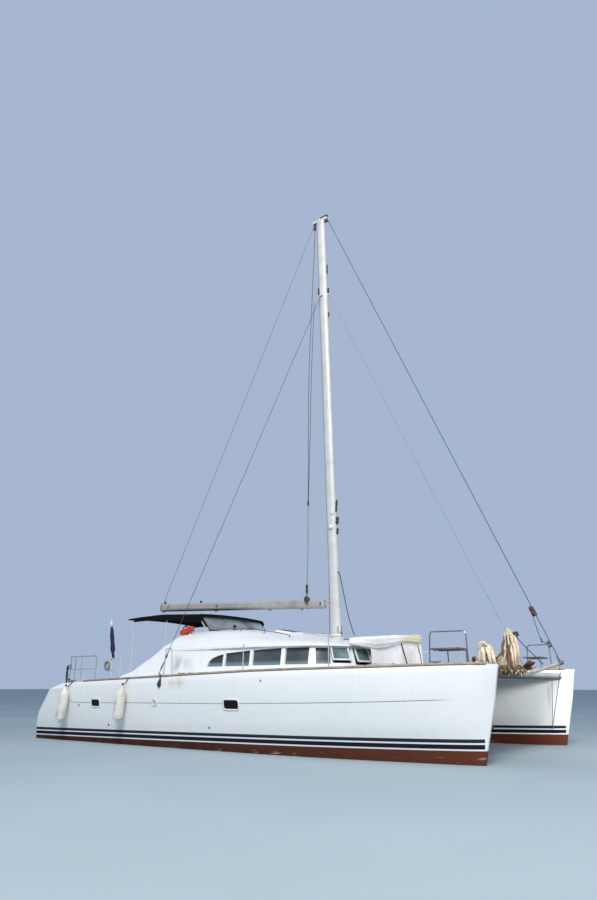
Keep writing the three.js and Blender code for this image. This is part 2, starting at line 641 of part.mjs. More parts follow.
// Each hoop: x, y and height of its feet, and x of its top
const BIMINI_HOOPS = [
  { footX: -4715, footY: 1250, footZ: 1330, topX: -4735 },
  { footX: -3370, footY: 1250, footZ: 1255, topX: -3385 },
  { footX: -1790, footY: 1235, footZ: 2600, topX: -2130 },
];
const HOOP_RADIUS = 16;
const HOOP_CORNER = { y: 1235, drop: 70 };
const hoopCorner = (x, side) => v3(x, side * HOOP_CORNER.y, biminiUnder(x, HOOP_CORNER.y) - HOOP_CORNER.drop);
const hoops = BIMINI_HOOPS.map(({ footX, footY, footZ, topX }) => {
  const arch = [-1170, -800, -400, 0, 400, 800, 1170];
  const over = arch.map((y) => v3(topX, y, biminiUnder(topX, y) - HOOP_RADIUS + 1));
  return railing([v3(footX, -footY, footZ), hoopCorner(topX, -1), ...over, hoopCorner(topX, 1),
    v3(footX, footY, footZ)], HOOP_RADIUS, 8);
});
const hoopTies = [-1, 1].map((side) => {
  return railing(BIMINI_HOOPS.map(({ topX }) => hoopCorner(topX, side)), 12);
});
const hoopFrame = clearOf(union(...hoops, ...hoopTies), bimini);
const frameOnSeats = seated(seated(hoopFrame, benchBody), bridgedeck);
add("bimini_frame", seated(frameOnSeats, roofBody), "steel");

// Wind screen: a raked grey panel from under the canopy's forward edge down to the roof

const SCREEN = { topX: -2112, topZ: 3160, footX: -1692, footZ: 2600, half: 1270, thick: 30 };
const screenPanel = sideProfile([
  [SCREEN.topX, SCREEN.topZ], [SCREEN.footX, SCREEN.footZ],
  [SCREEN.footX + SCREEN.thick, SCREEN.footZ], [SCREEN.topX + SCREEN.thick, SCREEN.topZ],
], -SCREEN.half, SCREEN.half);
const aboveCanopy = canopyForm(BIMINI.edge, BIMINI.thick + SEAT_GAP, -700);
add("wind_screen", seated(screenPanel.subtract(aboveCanopy), roofBody), "screenGrey");

// Mast with its masthead, hounds and gooseneck lugs

function mastX(z) {
  const t = (z - MAST.baseZ) / (MAST.topZ - MAST.baseZ);
  return MAST.baseX + t * (MAST.topX - MAST.baseX);
}
const MAST_RAKE = Math.atan2(MAST.baseX - MAST.topX, MAST.topZ - MAST.baseZ);
function mastTube() {
  const length = Math.hypot(MAST.topX - MAST.baseX, MAST.topZ - MAST.baseZ);
  const tube = new THREE.CylinderGeometry(1, 1, length, 20);
  tube.scale(MAST.halfLength, 1, MAST.halfWidth);
  tube.rotateX(Math.PI / 2);
  tube.rotateY(-MAST_RAKE);
  tube.translate((MAST.baseX + MAST.topX) / 2, 0, (MAST.baseZ + MAST.topZ) / 2);
  return solid(tube);
}
const PIN_Z = 3290;
const PIN_X = mastX(PIN_Z) - MAST.halfLength - 75;
const lugs = [
  slab(PIN_X - 30, PIN_X + 120, -32, 32, PIN_Z + 42, PIN_Z + 56),
  slab(PIN_X - 30, PIN_X + 120, -32, 32, PIN_Z - 56, PIN_Z - 42),
];
const pinTopX = (z) => PIN_X - (z - PIN_Z) * Math.tan(MAST_RAKE);
const masthead = union(
  slab(MAST.topX - 270, MAST.topX + 230, -45, 45, MAST.topZ - 20, MAST.topZ + 70),
  slab(MAST.topX - 100, MAST.topX + 100, -80, 80, MAST.topZ - 20, MAST.topZ + 25),
);
const houndX = mastX(HOUNDS_Z);
const hounds = union(
  slab(houndX - 45, houndX + 45, -MAST.halfWidth - 35, MAST.halfWidth + 35, HOUNDS_Z, HOUNDS_Z + 60),
  slab(houndX, houndX + MAST.halfLength + 45, -22, 22, HOUNDS_Z, HOUNDS_Z + 70),
);
const mastStep = rod(v3(MAST.baseX, 0, 2330), v3(MAST.baseX, 0, 2430), 190, 20);
const mastWhole = union(mastTube(), ...lugs, masthead, hounds, mastStep);
const mast = add("mast", clearOf(mastWhole, roofBody), "alloy");

// Boom: a rounded box with a nose eye between the mast's lugs

function boomForm() {
  const { depth, width } = BOOM;
  const r = 55;
  const shape = new THREE.Shape();
  shape.moveTo(-width / 2 + r, -depth / 2);
  shape.lineTo(width / 2 - r, -depth / 2);
  shape.absarc(width / 2 - r, -depth / 2 + r, r, -Math.PI / 2, 0);
  shape.absarc(width / 2 - r, depth / 2 - r, r, 0, Math.PI / 2);
  shape.absarc(-width / 2 + r, depth / 2 - r, r, Math.PI / 2, Math.PI);
  shape.absarc(-width / 2 + r, -depth / 2 + r, r, Math.PI, 1.5 * Math.PI);
  const length = Math.hypot(BOOM.noseX - BOOM.endX, BOOM.noseZ - BOOM.endZ);
  const form = new THREE.ExtrudeGeometry(shape, { depth: length, bevelEnabled: false, curveSegments: 3 });
  form.rotateZ(Math.PI / 2);
  form.rotateY(-Math.PI / 2);
  const straight = solid(form);
  const tilt = THREE.MathUtils.radToDeg(Math.atan2(BOOM.endZ - BOOM.noseZ, BOOM.noseX - BOOM.endX));
  return straight.rotate([0, tilt, 0]).translate([BOOM.noseX, 0, BOOM.noseZ]);
}
const EYE = { radius: 28, half: 40.95 };
const boomNose = union(
  rod(v3(pinTopX(PIN_Z - EYE.half), 0, PIN_Z - EYE.half), v3(pinTopX(PIN_Z + EYE.half), 0, PIN_Z + EYE.half),
    EYE.radius, 14),
  slab(BOOM.noseX - 60, PIN_X, -14, 14, PIN_Z - 32, PIN_Z + 32),
);
const boomEnd = slab(BOOM.endX - 45, BOOM.endX + 60, -50, 50, BOOM.endZ - 95, BOOM.endZ + 124);
const boom = add("boom", union(boomForm(), boomNose, boomEnd), "alloy");
const lift = rod(v3(pinTopX(MAST.topZ), 0, MAST.topZ), v3(BOOM.endX, 0, BOOM.endZ + 112), 7, 8);
add("topping_lift", clearOf(clearOf(lift, mast), boom), "black");

// Standing rigging

Object.entries(SIDES).forEach(([name, side]) => {
  const foot = v3(CHAINPLATE.x, side * CHAINPLATE.y, CHAINPLATE.z);
  const head = v3(houndX, side * (MAST.halfWidth + 30), HOUNDS_Z + 30);
  const screwTop = foot.clone().lerp(head, 0.042);
  const screwLow = foot.clone().lerp(head, 0.01);
  const y0 = side * CHAINPLATE.y - 60;
  let plate = slab(CHAINPLATE.x - 45, CHAINPLATE.x + 45, y0, y0 + 120, CHAINPLATE.z - 330, CHAINPLATE.z + 10);
  plate = plate.intersect(slab(-1200, -1000, ...(side > 0 ? [3490, 3572] : [-3572, -3490]), 1200, 1600));
  plate = seated(seated(plate, hulls[name], 0, side * SEAT_GAP, 0), hulls[name]);
  const stay = union(rod(foot, head, 8, 8), rod(screwLow, screwTop, 17, 10));
  add(`shroud_${name}`, union(plate, clearOf(stay, mast)), "steel");
});

const beam = betweenHulls(rod(
  v3(CROSSBEAM.x, -2350, CROSSBEAM.z), v3(CROSSBEAM.x, 2350, CROSSBEAM.z), CROSSBEAM.radius, 16));
const beamPost = rod(v3(CROSSBEAM.x, 0, CROSSBEAM.z), v3(CROSSBEAM.x, 0, CROSSBEAM.z + 110), 30, 12);
const crossbeam = add("crossbeam", union(beam, beamPost), "beamGrey");
const spritWhole = rod(v3(CROSSBEAM.x, 0, 1530), v3(SPRIT_TIP.x, 0, SPRIT_TIP.z), 38, 12);
const sprit = add("bowsprit", seated(spritWhole, crossbeam, SEAT_GAP, 0, 0), "alloy");

const innerTop = v3(houndX + MAST.halfLength + 40, 0, HOUNDS_Z + 30);
const innerFoot = v3(CROSSBEAM.x, 0, CROSSBEAM.z + 100);
const innerScrew = rod(
  innerFoot.clone().lerp(innerTop, 0.01), innerFoot.clone().lerp(innerTop, 0.045), 18, 10);
const innerStay = union(rod(innerFoot, innerTop, 8, 8), innerScrew);
add("forestay_inner", clearOf(clearOf(innerStay, mast), crossbeam), "steel");
const outerTop = v3(MAST.topX + 225, 0, MAST.topZ + 30);
const outerFoot = v3(SPRIT_TIP.x - 20, 0, SPRIT_TIP.z);
const swivel = rod(outerFoot.clone().lerp(outerTop, 0.071), outerFoot.clone().lerp(outerTop, 0.084), 34, 12);
add("forestay_outer", clearOf(clearOf(union(rod(outerFoot, outerTop, 8, 8), swivel), mast), sprit), "steel");

// Foredeck: walkway, trampolines, anchor and dropped headsail

const WALKWAY = { half: 190, z0: 1425, z1: 1500 };
let walkway = slab(2700, CROSSBEAM.x, -WALKWAY.half, WALKWAY.half, WALKWAY.z0, WALKWAY.z1);
walkway = seated(seated(walkway, crossbeam, -SEAT_GAP, 0, 0), bridgedeck, SEAT_GAP, 0, 0);
walkway = walkway.intersect(slab(2900, 6100, -300, 300, 1000, 1700));
add("walkway", walkway, "gelcoat");
Object.entries(SIDES).forEach(([name, side]) => {
  const [y0, y1] = side > 0 ? [WALKWAY.half + SEAT_GAP, 2400] : [-2400, -WALKWAY.half - SEAT_GAP];
  let net = slab(2980, CROSSBEAM.x, y0, y1, 1452, 1466);
  net = clearOf(seated(net, crossbeam, -SEAT_GAP, 0, 0), bridgedeck);
  net = betweenHulls(net).intersect(slab(2990, 6080, Math.min(y0, y1), Math.max(y0, y1) - 1, 1400, 1500));
  add(`trampoline_${name}`, net, "net");
});

// The anchor lies over the crossbeam: x, half breadth and heights of its fluke's rings
const ANCHOR_Y = -320;
const FLUKE_ROWS = [
  { x: 6090, half: 30, low: 1590, high: 1630 },
  { x: 6170, half: 85, low: 1605, high: 1705 },
  { x: 6290, half: 115, low: 1645, high: 1790 },
  { x: 6370, half: 55, low: 1700, high: 1765 },
  { x: 6405, half: 14, low: 1730, high: 1750 },
];
const anchorFluke = loft(FLUKE_ROWS.map(({ x, half, low, high }) => {
  const middle = (low + high) / 2;
  return [v3(x, ANCHOR_Y, low), v3(x, ANCHOR_Y - half, middle), v3(x, ANCHOR_Y, high), v3(x, ANCHOR_Y + half, middle)];
}));
const anchorShank = rod(v3(5880, ANCHOR_Y, 1545), v3(6340, ANCHOR_Y, 1635), 20, 8);
const anchorRing = slab(5850, 5900, ANCHOR_Y - 40, ANCHOR_Y + 40, 1515, 1575);
const anchorWhole = union(anchorShank, anchorFluke, anchorRing);
add("anchor", seated(anchorWhole, crossbeam, 0, 0, SEAT_GAP), "rust");

// A slack heap: rings of a given centre, half width and height along the boat; less than 1 makes them square.
function heap(rows, y = 0, square = 1) {
  return loft(rows.map(({ x, half, low, high, shift = 0 }) => {
    const points = [];
    for (let i = 0; i < 12; i += 1) {
      const a = (i * Math.PI) / 6;
      const middle = (low + high) / 2;
      const c = Math.sign(Math.cos(a)) * Math.abs(Math.cos(a)) ** square;
      const s = Math.sign(Math.sin(a)) * Math.abs(Math.sin(a)) ** square;
      points.push(v3(x, y + shift + half * c, middle + ((high - low) / 2) * s));
    }
    return points;
  }));
}
// The bundle at its foot, then the column of cloth that hangs beside the inner forestay
const SAIL_ROWS = [
  { x: 5010, half: 60, low: 1500.4, high: 1640, shift: -60 },
  { x: 5070, half: 150, low: 1500.4, high: 1870, shift: -60 },
  { x: 5150, half: 200, low: 1500.4, high: 1930, shift: -60 },
  { x: 5210, half: 230, low: 1500.4, high: 2110, shift: -60 },
  { x: 5310, half: 250, low: 1500.4, high: 2160, shift: -60 },
  { x: 5430, half: 240, low: 1500.4, high: 2150, shift: -70 },
  { x: 5520, half: 210, low: 1500.4, high: 1990, shift: -90 },
  { x: 5600, half: 170, low: 1500.4, high: 1890, shift: -115 },
  { x: 5680, half: 125, low: 1500.4, high: 2050, shift: -150 },
  { x: 5770, half: 115, low: 1500.4, high: 2290, shift: -140 },
  { x: 5850, half: 110, low: 1500.4, high: 2420, shift: -135 },
  { x: 5920, half: 105, low: 1500.4, high: 2450, shift: -130 },
  { x: 5990, half: 100, low: 1520, high: 2380, shift: -125 },
  { x: 6030, half: 85, low: 1700, high: 2310, shift: -125 },
  { x: 6070, half: 50, low: 1950, high: 2210, shift: -125 },
];
add("headsail_heap", heap(SAIL_ROWS), "sailCloth");

// Pulpits with a seat, stern rails, gate hoops and guard posts

const deckZ = (x) => along(SHEER, x);
function pulpit(side, x0, x1) {
  const outer = side * (HULL_Y + 200);
  const inner = side * (HULL_Y - 200);
  const top = deckZ(x1) + 600;
  const seat = deckZ(x1) + 280;
  const fore = side * (HULL_Y + 120);
  const hoop = railing([v3(x0 - 20, outer, 1560), v3(x0 + 15, outer, top - 60), v3(x0 + 50, outer, top),
    v3(x1 - 55, fore, top), v3(x1 - 15, fore, top - 60), v3(x1, fore, 1560)], 13);
  const low = railing([v3(x0 + 190, inner, 1560), v3(x0 + 180, inner, seat), v3(x0 + 180, outer, seat)], 12);
  const front = railing([v3(x1 - 160, inner, 1560), v3(x1 - 160, inner, seat), v3(x1 - 60, fore, seat)], 12);
  const board = slab(x0, x1 - 140, Math.min(outer, inner) - 20, Math.max(outer, inner) + 20, seat, seat + 28);
  return union(hoop, low, front, board);
}
add("pulpit_starboard", onDecks(pulpit(-1, 5230, 5940)), "steel");
add("pulpit_port", onDecks(pulpit(1, 5300, 5890)), "steel");

function sternRail(side) {
  const y = side * 3330;
  const top = 2010;
  const aft = v3(-4720, y - side * 60, top - 20);
  return union(
    railing([v3(-3620, y, 1350), v3(-3620, y, top - 40), v3(-3680, y, top), v3(-4650, y, top), aft,
      v3(aft.x, aft.y, 1300)], 13),
    railing([v3(-4450, y, 1350), v3(-4450, y, top)], 11),
    railing([v3(-4200, y, 1350), v3(-4200, y, top)], 11),
    railing([v3(-3620, y, 1700), v3(aft.x, aft.y, 1700)], 8),
  );
}

// The gate hoop beside the shroud, and a guard wire from it over the two posts forward of it.
function guardRail(side) {
  const y = side * 3300;
  return union(
    railing([v3(-1220, y, 1440), v3(-1170, y, 2085), v3(-1140, y, 2110), v3(-1020, y, 2110),
      v3(-990, y, 2080), v3(-930, y, 1440)], 12),
    rod(v3(1165, y, 1500), v3(1180, y, 2145), 12, 6),
    rod(v3(3337, y, 1500), v3(3349, y, 2280), 12, 6),
    railing([v3(-995, y, 2070), v3(1180, y, 2125), v3(3348, y, 2262)], 4),
  );
}
Object.entries(SIDES).forEach(([name, side]) => {
  add(`stern_rail_${name}`, onDecks(sternRail(side)), "steel");
  add(`guard_rail_${name}`, onDecks(guardRail(side)), "steel");
});

// Fenders, hung over the starboard side

// A cylinder with domed ends and an eye at the foot.
function fender(x, y, z0, z1, radius) {
  const profile = [[0, z0 - 50], [22, z0 - 50], [26, z0], [radius * 0.62, z0 + 18], [radius, z0 + 85],
    [radius, z1 - 85], [radius * 0.62, z1 - 18], [26, z1], [22, z1 + 50], [0, z1 + 50]];
  const form = new THREE.LatheGeometry(profile.map(([r, z]) => new THREE.Vector2(r, z)), 16);
  form.rotateX(Math.PI / 2);
  return solid(form).translate([x, y, 0]);
}
const FENDER_RADIUS = 122;
const FENDERS = [
  { name: "aft", x: -4400, y: -3628, low: 540, high: 1215 },
  { name: "forward", x: -2215, y: -3672, low: 600, high: 1240 },
];
const deckEdge = HULL_STATIONS.map((u) => levelPoint(HULL_LEVELS.at(-1), u));
FENDERS.forEach((f) => {
  const edgeY = -HULL_Y - along(deckEdge, f.x);
  const ropeZ = deckZ(f.x) + 8;
  const lanyard = railing(
    [v3(f.x, f.y, f.high + 30), v3(f.x, edgeY - 60, ropeZ + 8), v3(f.x, edgeY + 70, ropeZ)], 9);
  const whole = union(fender(f.x, f.y, f.low, f.high, FENDER_RADIUS), lanyard);
  add(`fender_${f.name}`, seated(seated(whole, hulls.starboard, 0, -SEAT_GAP, 0), hulls.starboard), "fender");
});

// Canvas over the port front windows, and the rolled awning above it

// heights of the cover's hem and head, and its plan outline there
const COVER_HEM = { z: 1560, front: 3075, half: 2675, power: 4 };
const COVER_HEAD = { z: 2330, front: 3045, half: 2665, power: 4 };
const COVER_THICK = 26;
const coverOuter = loft([roofRing(COVER_HEM, 0, 0), roofRing(COVER_HEAD, 0, 0)]);
const coverInner = loft([
  roofRing(COVER_HEM, COVER_THICK, 40), roofRing(COVER_HEAD, COVER_THICK, -40),
]);
let cover = coverOuter.subtract(coverInner).intersect(slab(2050, 3100, -1080, 2650, 1500, 2329));

// The roll's centre line from starboard to port, its half breadth and its heights
const AWNING_ROWS = [
  { x: 2800, y: -1600, half: 45, low: 2170, high: 2290 },
  { x: 2905, y: -1250, half: 110, low: 2110, high: 2330 },
  { x: 2960, y: -820, half: 125, low: 2075, high: 2362 },
  { x: 2975, y: -120, half: 130, low: 2180, high: 2420 },
  { x: 2960, y: 480, half: 130, low: 2275, high: 2460 },
  { x: 2930, y: 1200, half: 130, low: 2285, high: 2500 },
  { x: 2820, y: 1710, half: 115, low: 2290, high: 2545 },
  { x: 2600, y: 2100, half: 105, low: 2290, high: 2550 },
  { x: 2350, y: 2340, half: 100, low: 2290, high: 2530 },
];
const awning = loft(AWNING_ROWS.map(({ x, y, half, low, high }, row) => {
  const before = AWNING_ROWS[Math.max(0, row - 1)];
  const after = AWNING_ROWS[Math.min(AWNING_ROWS.length - 1, row + 1)];
  const outward = v3(after.y - before.y, before.x - after.x, 0).normalize();
  const points = [];
  for (let i = 0; i < 12; i += 1) {
    const a = (i * Math.PI) / 6;
    const point = v3(x, y, (low + high) / 2 + ((high - low) / 2) * Math.sin(a));
    points.push(point.addScaledVector(outward, half * Math.cos(a)));
  }
  return points;
}));
const awningBody = add("rolled_awning", clearOf(awning, roofBody), "canvasWhite");
cover = clearOf(cover, awningBody).decompose().sort((a, b) => b.volume() - a.volume())[0];
add("window_cover", seated(seated(cover, bridgedeck), hulls.port), "canvasWhite");

// Deck lids: x range, half width, distance off the centre plane, thickness, and what they lie on
const LIDS = [
  { name: "foredeck", x: [3900, 4450], half: 260, offset: HULL_Y, thick: 45, on: "hull" },
  { name: "engine", x: [-4350, -3850], half: 290, offset: HULL_Y - 150, thick: 45, on: "hull" },
  { name: "roof", x: [390, 870], half: 250, offset: 900, thick: 40, on: "roof" },
];
LIDS.forEach((lid) => {
  Object.entries(SIDES).forEach(([name, side]) => {
    const y = side * lid.offset;
    const under = lid.on === "hull" ? hulls[name] : roofBody;
    const column = slab(...lid.x, y - lid.half, y + lid.half, 1300, 2800);
    const lifted = column.intersect(under.translate([0, 0, lid.thick]));
    add(`lid_${lid.name}_${name}`, seated(lifted, under), "gelcoat");
  });
});

// Winches on the roof, lifebuoy and flag staff

const WINCH = { x: -955, y: 1150, waist: 2755, top: 2790 };
Object.entries(SIDES).forEach(([name, side]) => {
  const at = (z) => v3(WINCH.x, side * WINCH.y, z);
  const drum = union(rod(at(2560), at(WINCH.waist), 66, 14, 50), rod(at(WINCH.waist - 2), at(WINCH.top), 60, 14));
  add(`winch_${name}`, seated(drum, roofBody), "black");
});

// The lifebuoy is a sling in its pouch, lying on the roof's aft corner on a short foot.
const POUCH_ROWS = [
  { x: -2185, half: 38, low: 2585, high: 2635 },
  { x: -2160, half: 64, low: 2548, high: 2654 },
  { x: -2080, half: 72, low: 2518, high: 2678 },
  { x: -1960, half: 74, low: 2552, high: 2712 },
  { x: -1850, half: 72, low: 2588, high: 2744 },
  { x: -1800, half: 64, low: 2606, high: 2752 },
  { x: -1775, half: 38, low: 2635, high: 2725 },
];
const POUCH_Y = -1860;
const pouchFoot = rod(v3(-1860, POUCH_Y, 2480), v3(-1860, POUCH_Y, 2660), 22, 10);
const pouch = union(heap(POUCH_ROWS, POUCH_Y, 0.6), pouchFoot);
add("lifebuoy", seated(seated(pouch, coachroof), roofBody), "orange");

const staff = union(
  rod(v3(-4600, -2000, 1300), v3(-4820, -2000, 3080), 14, 8),
  rod(v3(-4540, -2000, 1995), v3(-4700, -2000, 2500), 34, 10, 92),
  rod(v3(-4700, -2000, 2500), v3(-4775, -2000, 2860), 92, 10, 34),
);
add("flag_staff", onDecks(staff), "blue");

export default group;
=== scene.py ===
"""Looks of the sailing catamaran: materials for its CAD solids, soft goods, running gear and fittings.

Metres, in the part's frame: +X towards the bows, +Y to port, +Z up, the origin on the waterline.
"""

import math

import bmesh
import bpy
from mathutils import Matrix, Vector, noise
from mathutils.bvhtree import BVHTree


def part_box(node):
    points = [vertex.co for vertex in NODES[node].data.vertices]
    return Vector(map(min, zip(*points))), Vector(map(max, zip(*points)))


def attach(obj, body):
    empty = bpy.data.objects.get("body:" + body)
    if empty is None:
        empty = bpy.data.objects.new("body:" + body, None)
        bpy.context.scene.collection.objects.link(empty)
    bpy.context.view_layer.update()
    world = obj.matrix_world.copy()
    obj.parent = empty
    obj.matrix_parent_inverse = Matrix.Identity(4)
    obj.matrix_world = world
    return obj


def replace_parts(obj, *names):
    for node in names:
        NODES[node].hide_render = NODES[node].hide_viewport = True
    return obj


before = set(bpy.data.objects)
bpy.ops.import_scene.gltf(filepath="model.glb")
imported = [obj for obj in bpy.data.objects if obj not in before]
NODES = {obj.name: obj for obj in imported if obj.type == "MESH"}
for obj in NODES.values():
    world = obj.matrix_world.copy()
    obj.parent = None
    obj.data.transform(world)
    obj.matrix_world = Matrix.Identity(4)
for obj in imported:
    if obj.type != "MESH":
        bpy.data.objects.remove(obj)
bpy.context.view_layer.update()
BOAT = "boat"
SIDES = {"starboard": -1, "port": 1}
HULL_Y = 2.55
AHEAD, PORT, UP = Vector((1, 0, 0)), Vector((0, 1, 0)), Vector((0, 0, 1))

# Camera, as solved for the photograph
CAMERA_PLACE = (10.7726, -14.6767, 1.3137)
CAMERA_RIGHT = (0.8129, 0.5824, 0.0)
CAMERA_UP = (0.1938, -0.2705, 0.9430)
CAMERA_LOOK = (-0.5492, 0.7666, 0.3327)
IMAGE_HEIGHT = 900
FOCAL_PX = 666.02
SENSOR = 36.0
FARTHEST = 600


def make_camera():
    data = bpy.data.cameras.new("camera")
    data.sensor_width = SENSOR
    data.lens = FOCAL_PX / IMAGE_HEIGHT * SENSOR
    data.clip_end = FARTHEST
    camera = bpy.data.objects.new("camera", data)
    bpy.context.scene.collection.objects.link(camera)
    axes = Matrix((CAMERA_RIGHT, CAMERA_UP, [-x for x in CAMERA_LOOK])).transposed()
    camera.matrix_world = Matrix.Translation(CAMERA_PLACE) @ axes.to_4x4()
    bpy.context.scene.camera = camera
    bpy.context.scene.view_settings.view_transform = "Standard"


# Node trees


class Paint:
    """One material, with short calls for the nodes it uses."""

    def __init__(self, name, colour=(0.8, 0.8, 0.8), rough=0.5, metal=0.0, **sockets):
        self.material = bpy.data.materials.new(name)
        self.material.use_nodes = True
        self.tree = self.material.node_tree
        self.shader = self.tree.nodes["Principled BSDF"]
        self.shader.inputs["Base Color"].default_value = (*colour, 1)
        self.shader.inputs["Roughness"].default_value = rough
        self.shader.inputs["Metallic"].default_value = metal
        for socket, value in sockets.items():
            self.shader.inputs[socket.replace("_", " ")].default_value = value
        self.coordinates = self.tree.nodes.new("ShaderNodeTexCoord").outputs["Object"]
        self.split = None

    def put(self, socket, value):
        if isinstance(value, bpy.types.NodeSocket):
            self.tree.links.new(value, socket)
        else:
            socket.default_value = value

    def node(self, kind, *inputs, **settings):
        made = self.tree.nodes.new("ShaderNode" + kind)
        for key, value in settings.items():
            setattr(made, key, value)
        for socket, value in zip(made.inputs, inputs):
            if value is not None:
                self.put(socket, value)
        return made

    def axis(self, name):
        if self.split is None:
            self.split = self.node("SeparateXYZ", self.coordinates)
        return self.split.outputs[name]

    def math(self, operation, a, b=0.0, c=0.0, clamp=False):
        return self.node("Math", a, b, c, operation=operation, use_clamp=clamp).outputs[0]

    def times(self, first, *others):
        for other in others:
            first = self.math("MULTIPLY", first, other)
        return first

    def rise(self, value, slope, start):
        """The value times a slope, plus a start, kept from 0 to 1."""
        return self.math("MULTIPLY_ADD", value, slope, start, clamp=True)

    def upward(self):
        """How far the surface faces up, from -1 to 1."""
        facing = self.tree.nodes.new("ShaderNodeTexCoord").outputs["Normal"]
        return self.node("SeparateXYZ", facing).outputs["Z"]

    def noise(self, scale, detail=3.0, rough=0.5, stretch=(1, 1, 1), seed=0.0):
        moved = self.node("Mapping", self.coordinates, (seed, seed, seed), None, stretch)
        made = self.node("TexNoise", moved.outputs[0])
        made.inputs["Scale"].default_value = scale
        made.inputs["Detail"].default_value = detail
        made.inputs["Roughness"].default_value = rough
        return made.outputs["Fac"]

    def wave(self, scale, direction):
        made = self.node("TexWave", self.coordinates, bands_direction=direction)
        made.inputs["Scale"].default_value = scale
        return made.outputs["Fac"]

    def ramp(self, value, *stops, hard=False):
        """Colours or greys at their places along a value, from 0 to 1."""
        made = self.node("ValToRGB", value)
        made.color_ramp.interpolation = "CONSTANT" if hard else "LINEAR"
        points = made.color_ramp.elements
        while len(points) < len(stops):
            points.new(0.5)
        for point, (place, colour) in zip(points, sorted(stops, key=lambda stop: stop[0])):
            point.position = place
            point.color = (*colour, 1) if isinstance(colour, tuple) else (colour, colour, colour, 1)
        return made.outputs["Color"]

    def mask(self, value, low, high, full=1.0):
        """0 where the value is under low, rising to full where it is over high."""
        return self.ramp(value, (low, 0.0), (high, full))

    def band(self, value, low, high, soft=0.02):
        """1 where the value lies between low and high, 0 outside."""
        above = self.rise(value, 1 / soft, 0.5 - low / soft)
        below = self.rise(value, -1 / soft, 0.5 + high / soft)
        return self.times(above, below)

    def line(self, value, rows):
        """A height that follows straight lines through the (place, height) rows."""
        low, high = rows[0][0], rows[-1][0]
        floor = min(height for _, height in rows)
        top = max(height for _, height in rows)
        share = self.rise(value, 1 / (high - low), -low / (high - low))
        grey = self.ramp(share, *[((x - low) / (high - low), (z - floor) / (top - floor)) for x, z in rows])
        return self.math("MULTIPLY_ADD", grey, top - floor, floor)

    def mix(self, share, a, b):
        made = self.tree.nodes.new("ShaderNodeMix")
        made.data_type = "RGBA"
        self.put(made.inputs["Factor"], share)
        for key, value in (("A", a), ("B", b)):
            socket = next(s for s in made.inputs if s.name == key and s.type == "RGBA")
            self.put(socket, (*value, 1) if isinstance(value, tuple) else value)
        return next(s for s in made.outputs if s.type == "RGBA")

    def colour(self, value):
        self.put(self.shader.inputs["Base Color"], value)

    def rough(self, value):
        self.put(self.shader.inputs["Roughness"], value)

    def bump(self, height, distance, strength=1.0):
        made = self.tree.nodes.new("ShaderNodeBump")
        made.inputs["Distance"].default_value = distance
        made.inputs["Strength"].default_value = strength
        self.put(made.inputs["Height"], height)
        previous = self.shader.inputs["Normal"]
        if previous.is_linked:
            self.put(made.inputs["Normal"], previous.links[0].from_socket)
        self.put(previous, made.outputs["Normal"])


WHITE = (0.79, 0.80, 0.78)
NAVY = (0.004, 0.006, 0.020)
BOTTOM_RED = (0.040, 0.010, 0.005)
GRIME = (0.45, 0.38, 0.26)


def gelcoat(name, streaks=0.35):
    """White laminate, faintly clouded, with run-off streaks down its sides."""
    paint = Paint(name, WHITE, 0.34, Specular_IOR_Level=0.25)
    base = paint.mix(paint.mask(paint.noise(0.7, 4, 0.6), 0.35, 0.75), WHITE, (0.75, 0.765, 0.75))
    run = paint.noise(1.0, 5, 0.65, stretch=(9, 9, 0.7), seed=3.0)
    base = paint.mix(paint.times(paint.mask(run, 0.56, 0.72), streaks), base, GRIME)
    paint.rough(paint.ramp(paint.noise(3.0, 3), (0.3, 0.22), (0.8, 0.42)))
    paint.bump(paint.noise(1.4, 2), 0.004, 0.25)
    return paint, base


# Heights along the hull, [x, z]: the bottom paint's edge and the knuckle
PAINT_EDGE = [(-6.0, 0.088), (-5.7, 0.09), (2.7, 0.195), (6.0, 0.235), (6.5, 0.245)]
KNUCKLE = [(-5.4, 0.93), (-4.36, 0.91), (-3.5, 0.90), (-2.16, 0.92), (0.63, 0.94), (2.8, 0.98),
           (4.37, 1.02), (5.74, 1.07), (6.14, 1.08)]
KNUCKLE_ENDS = (-4.40, 5.55)
KNUCKLE_HALF = 0.007
OUTBOARD_FROM = 2.75
# Heights over the bottom paint's edge between which each boot stripe runs
BOOT_STRIPES = [(0.026, 0.100), (0.130, 0.190)]
STRIPE_SCALE = 2.0
# The stem's line forward of which no stripe runs, [z, x]
STRIPE_END = [(0.0, 6.05), (0.5, 6.11), (1.0, 6.17)]
# A tread of the stern steps faces up further than this
TREAD_FACING = 0.6
MATT_BELOW = 0.195


def boot_stripes(paint, base, x, z, over):
    share = paint.rise(over, STRIPE_SCALE, 0.5)
    stops = [(0.0, 0.0)]
    for low, high in BOOT_STRIPES:
        stops += [(0.5 + STRIPE_SCALE * low, 1.0), (0.5 + STRIPE_SCALE * high, 0.0)]
    short = paint.math("LESS_THAN", x, paint.line(z, STRIPE_END))
    steep = paint.math("LESS_THAN", paint.upward(), TREAD_FACING)
    return paint.mix(paint.times(paint.ramp(share, *stops, hard=True), short, steep), base, NAVY)


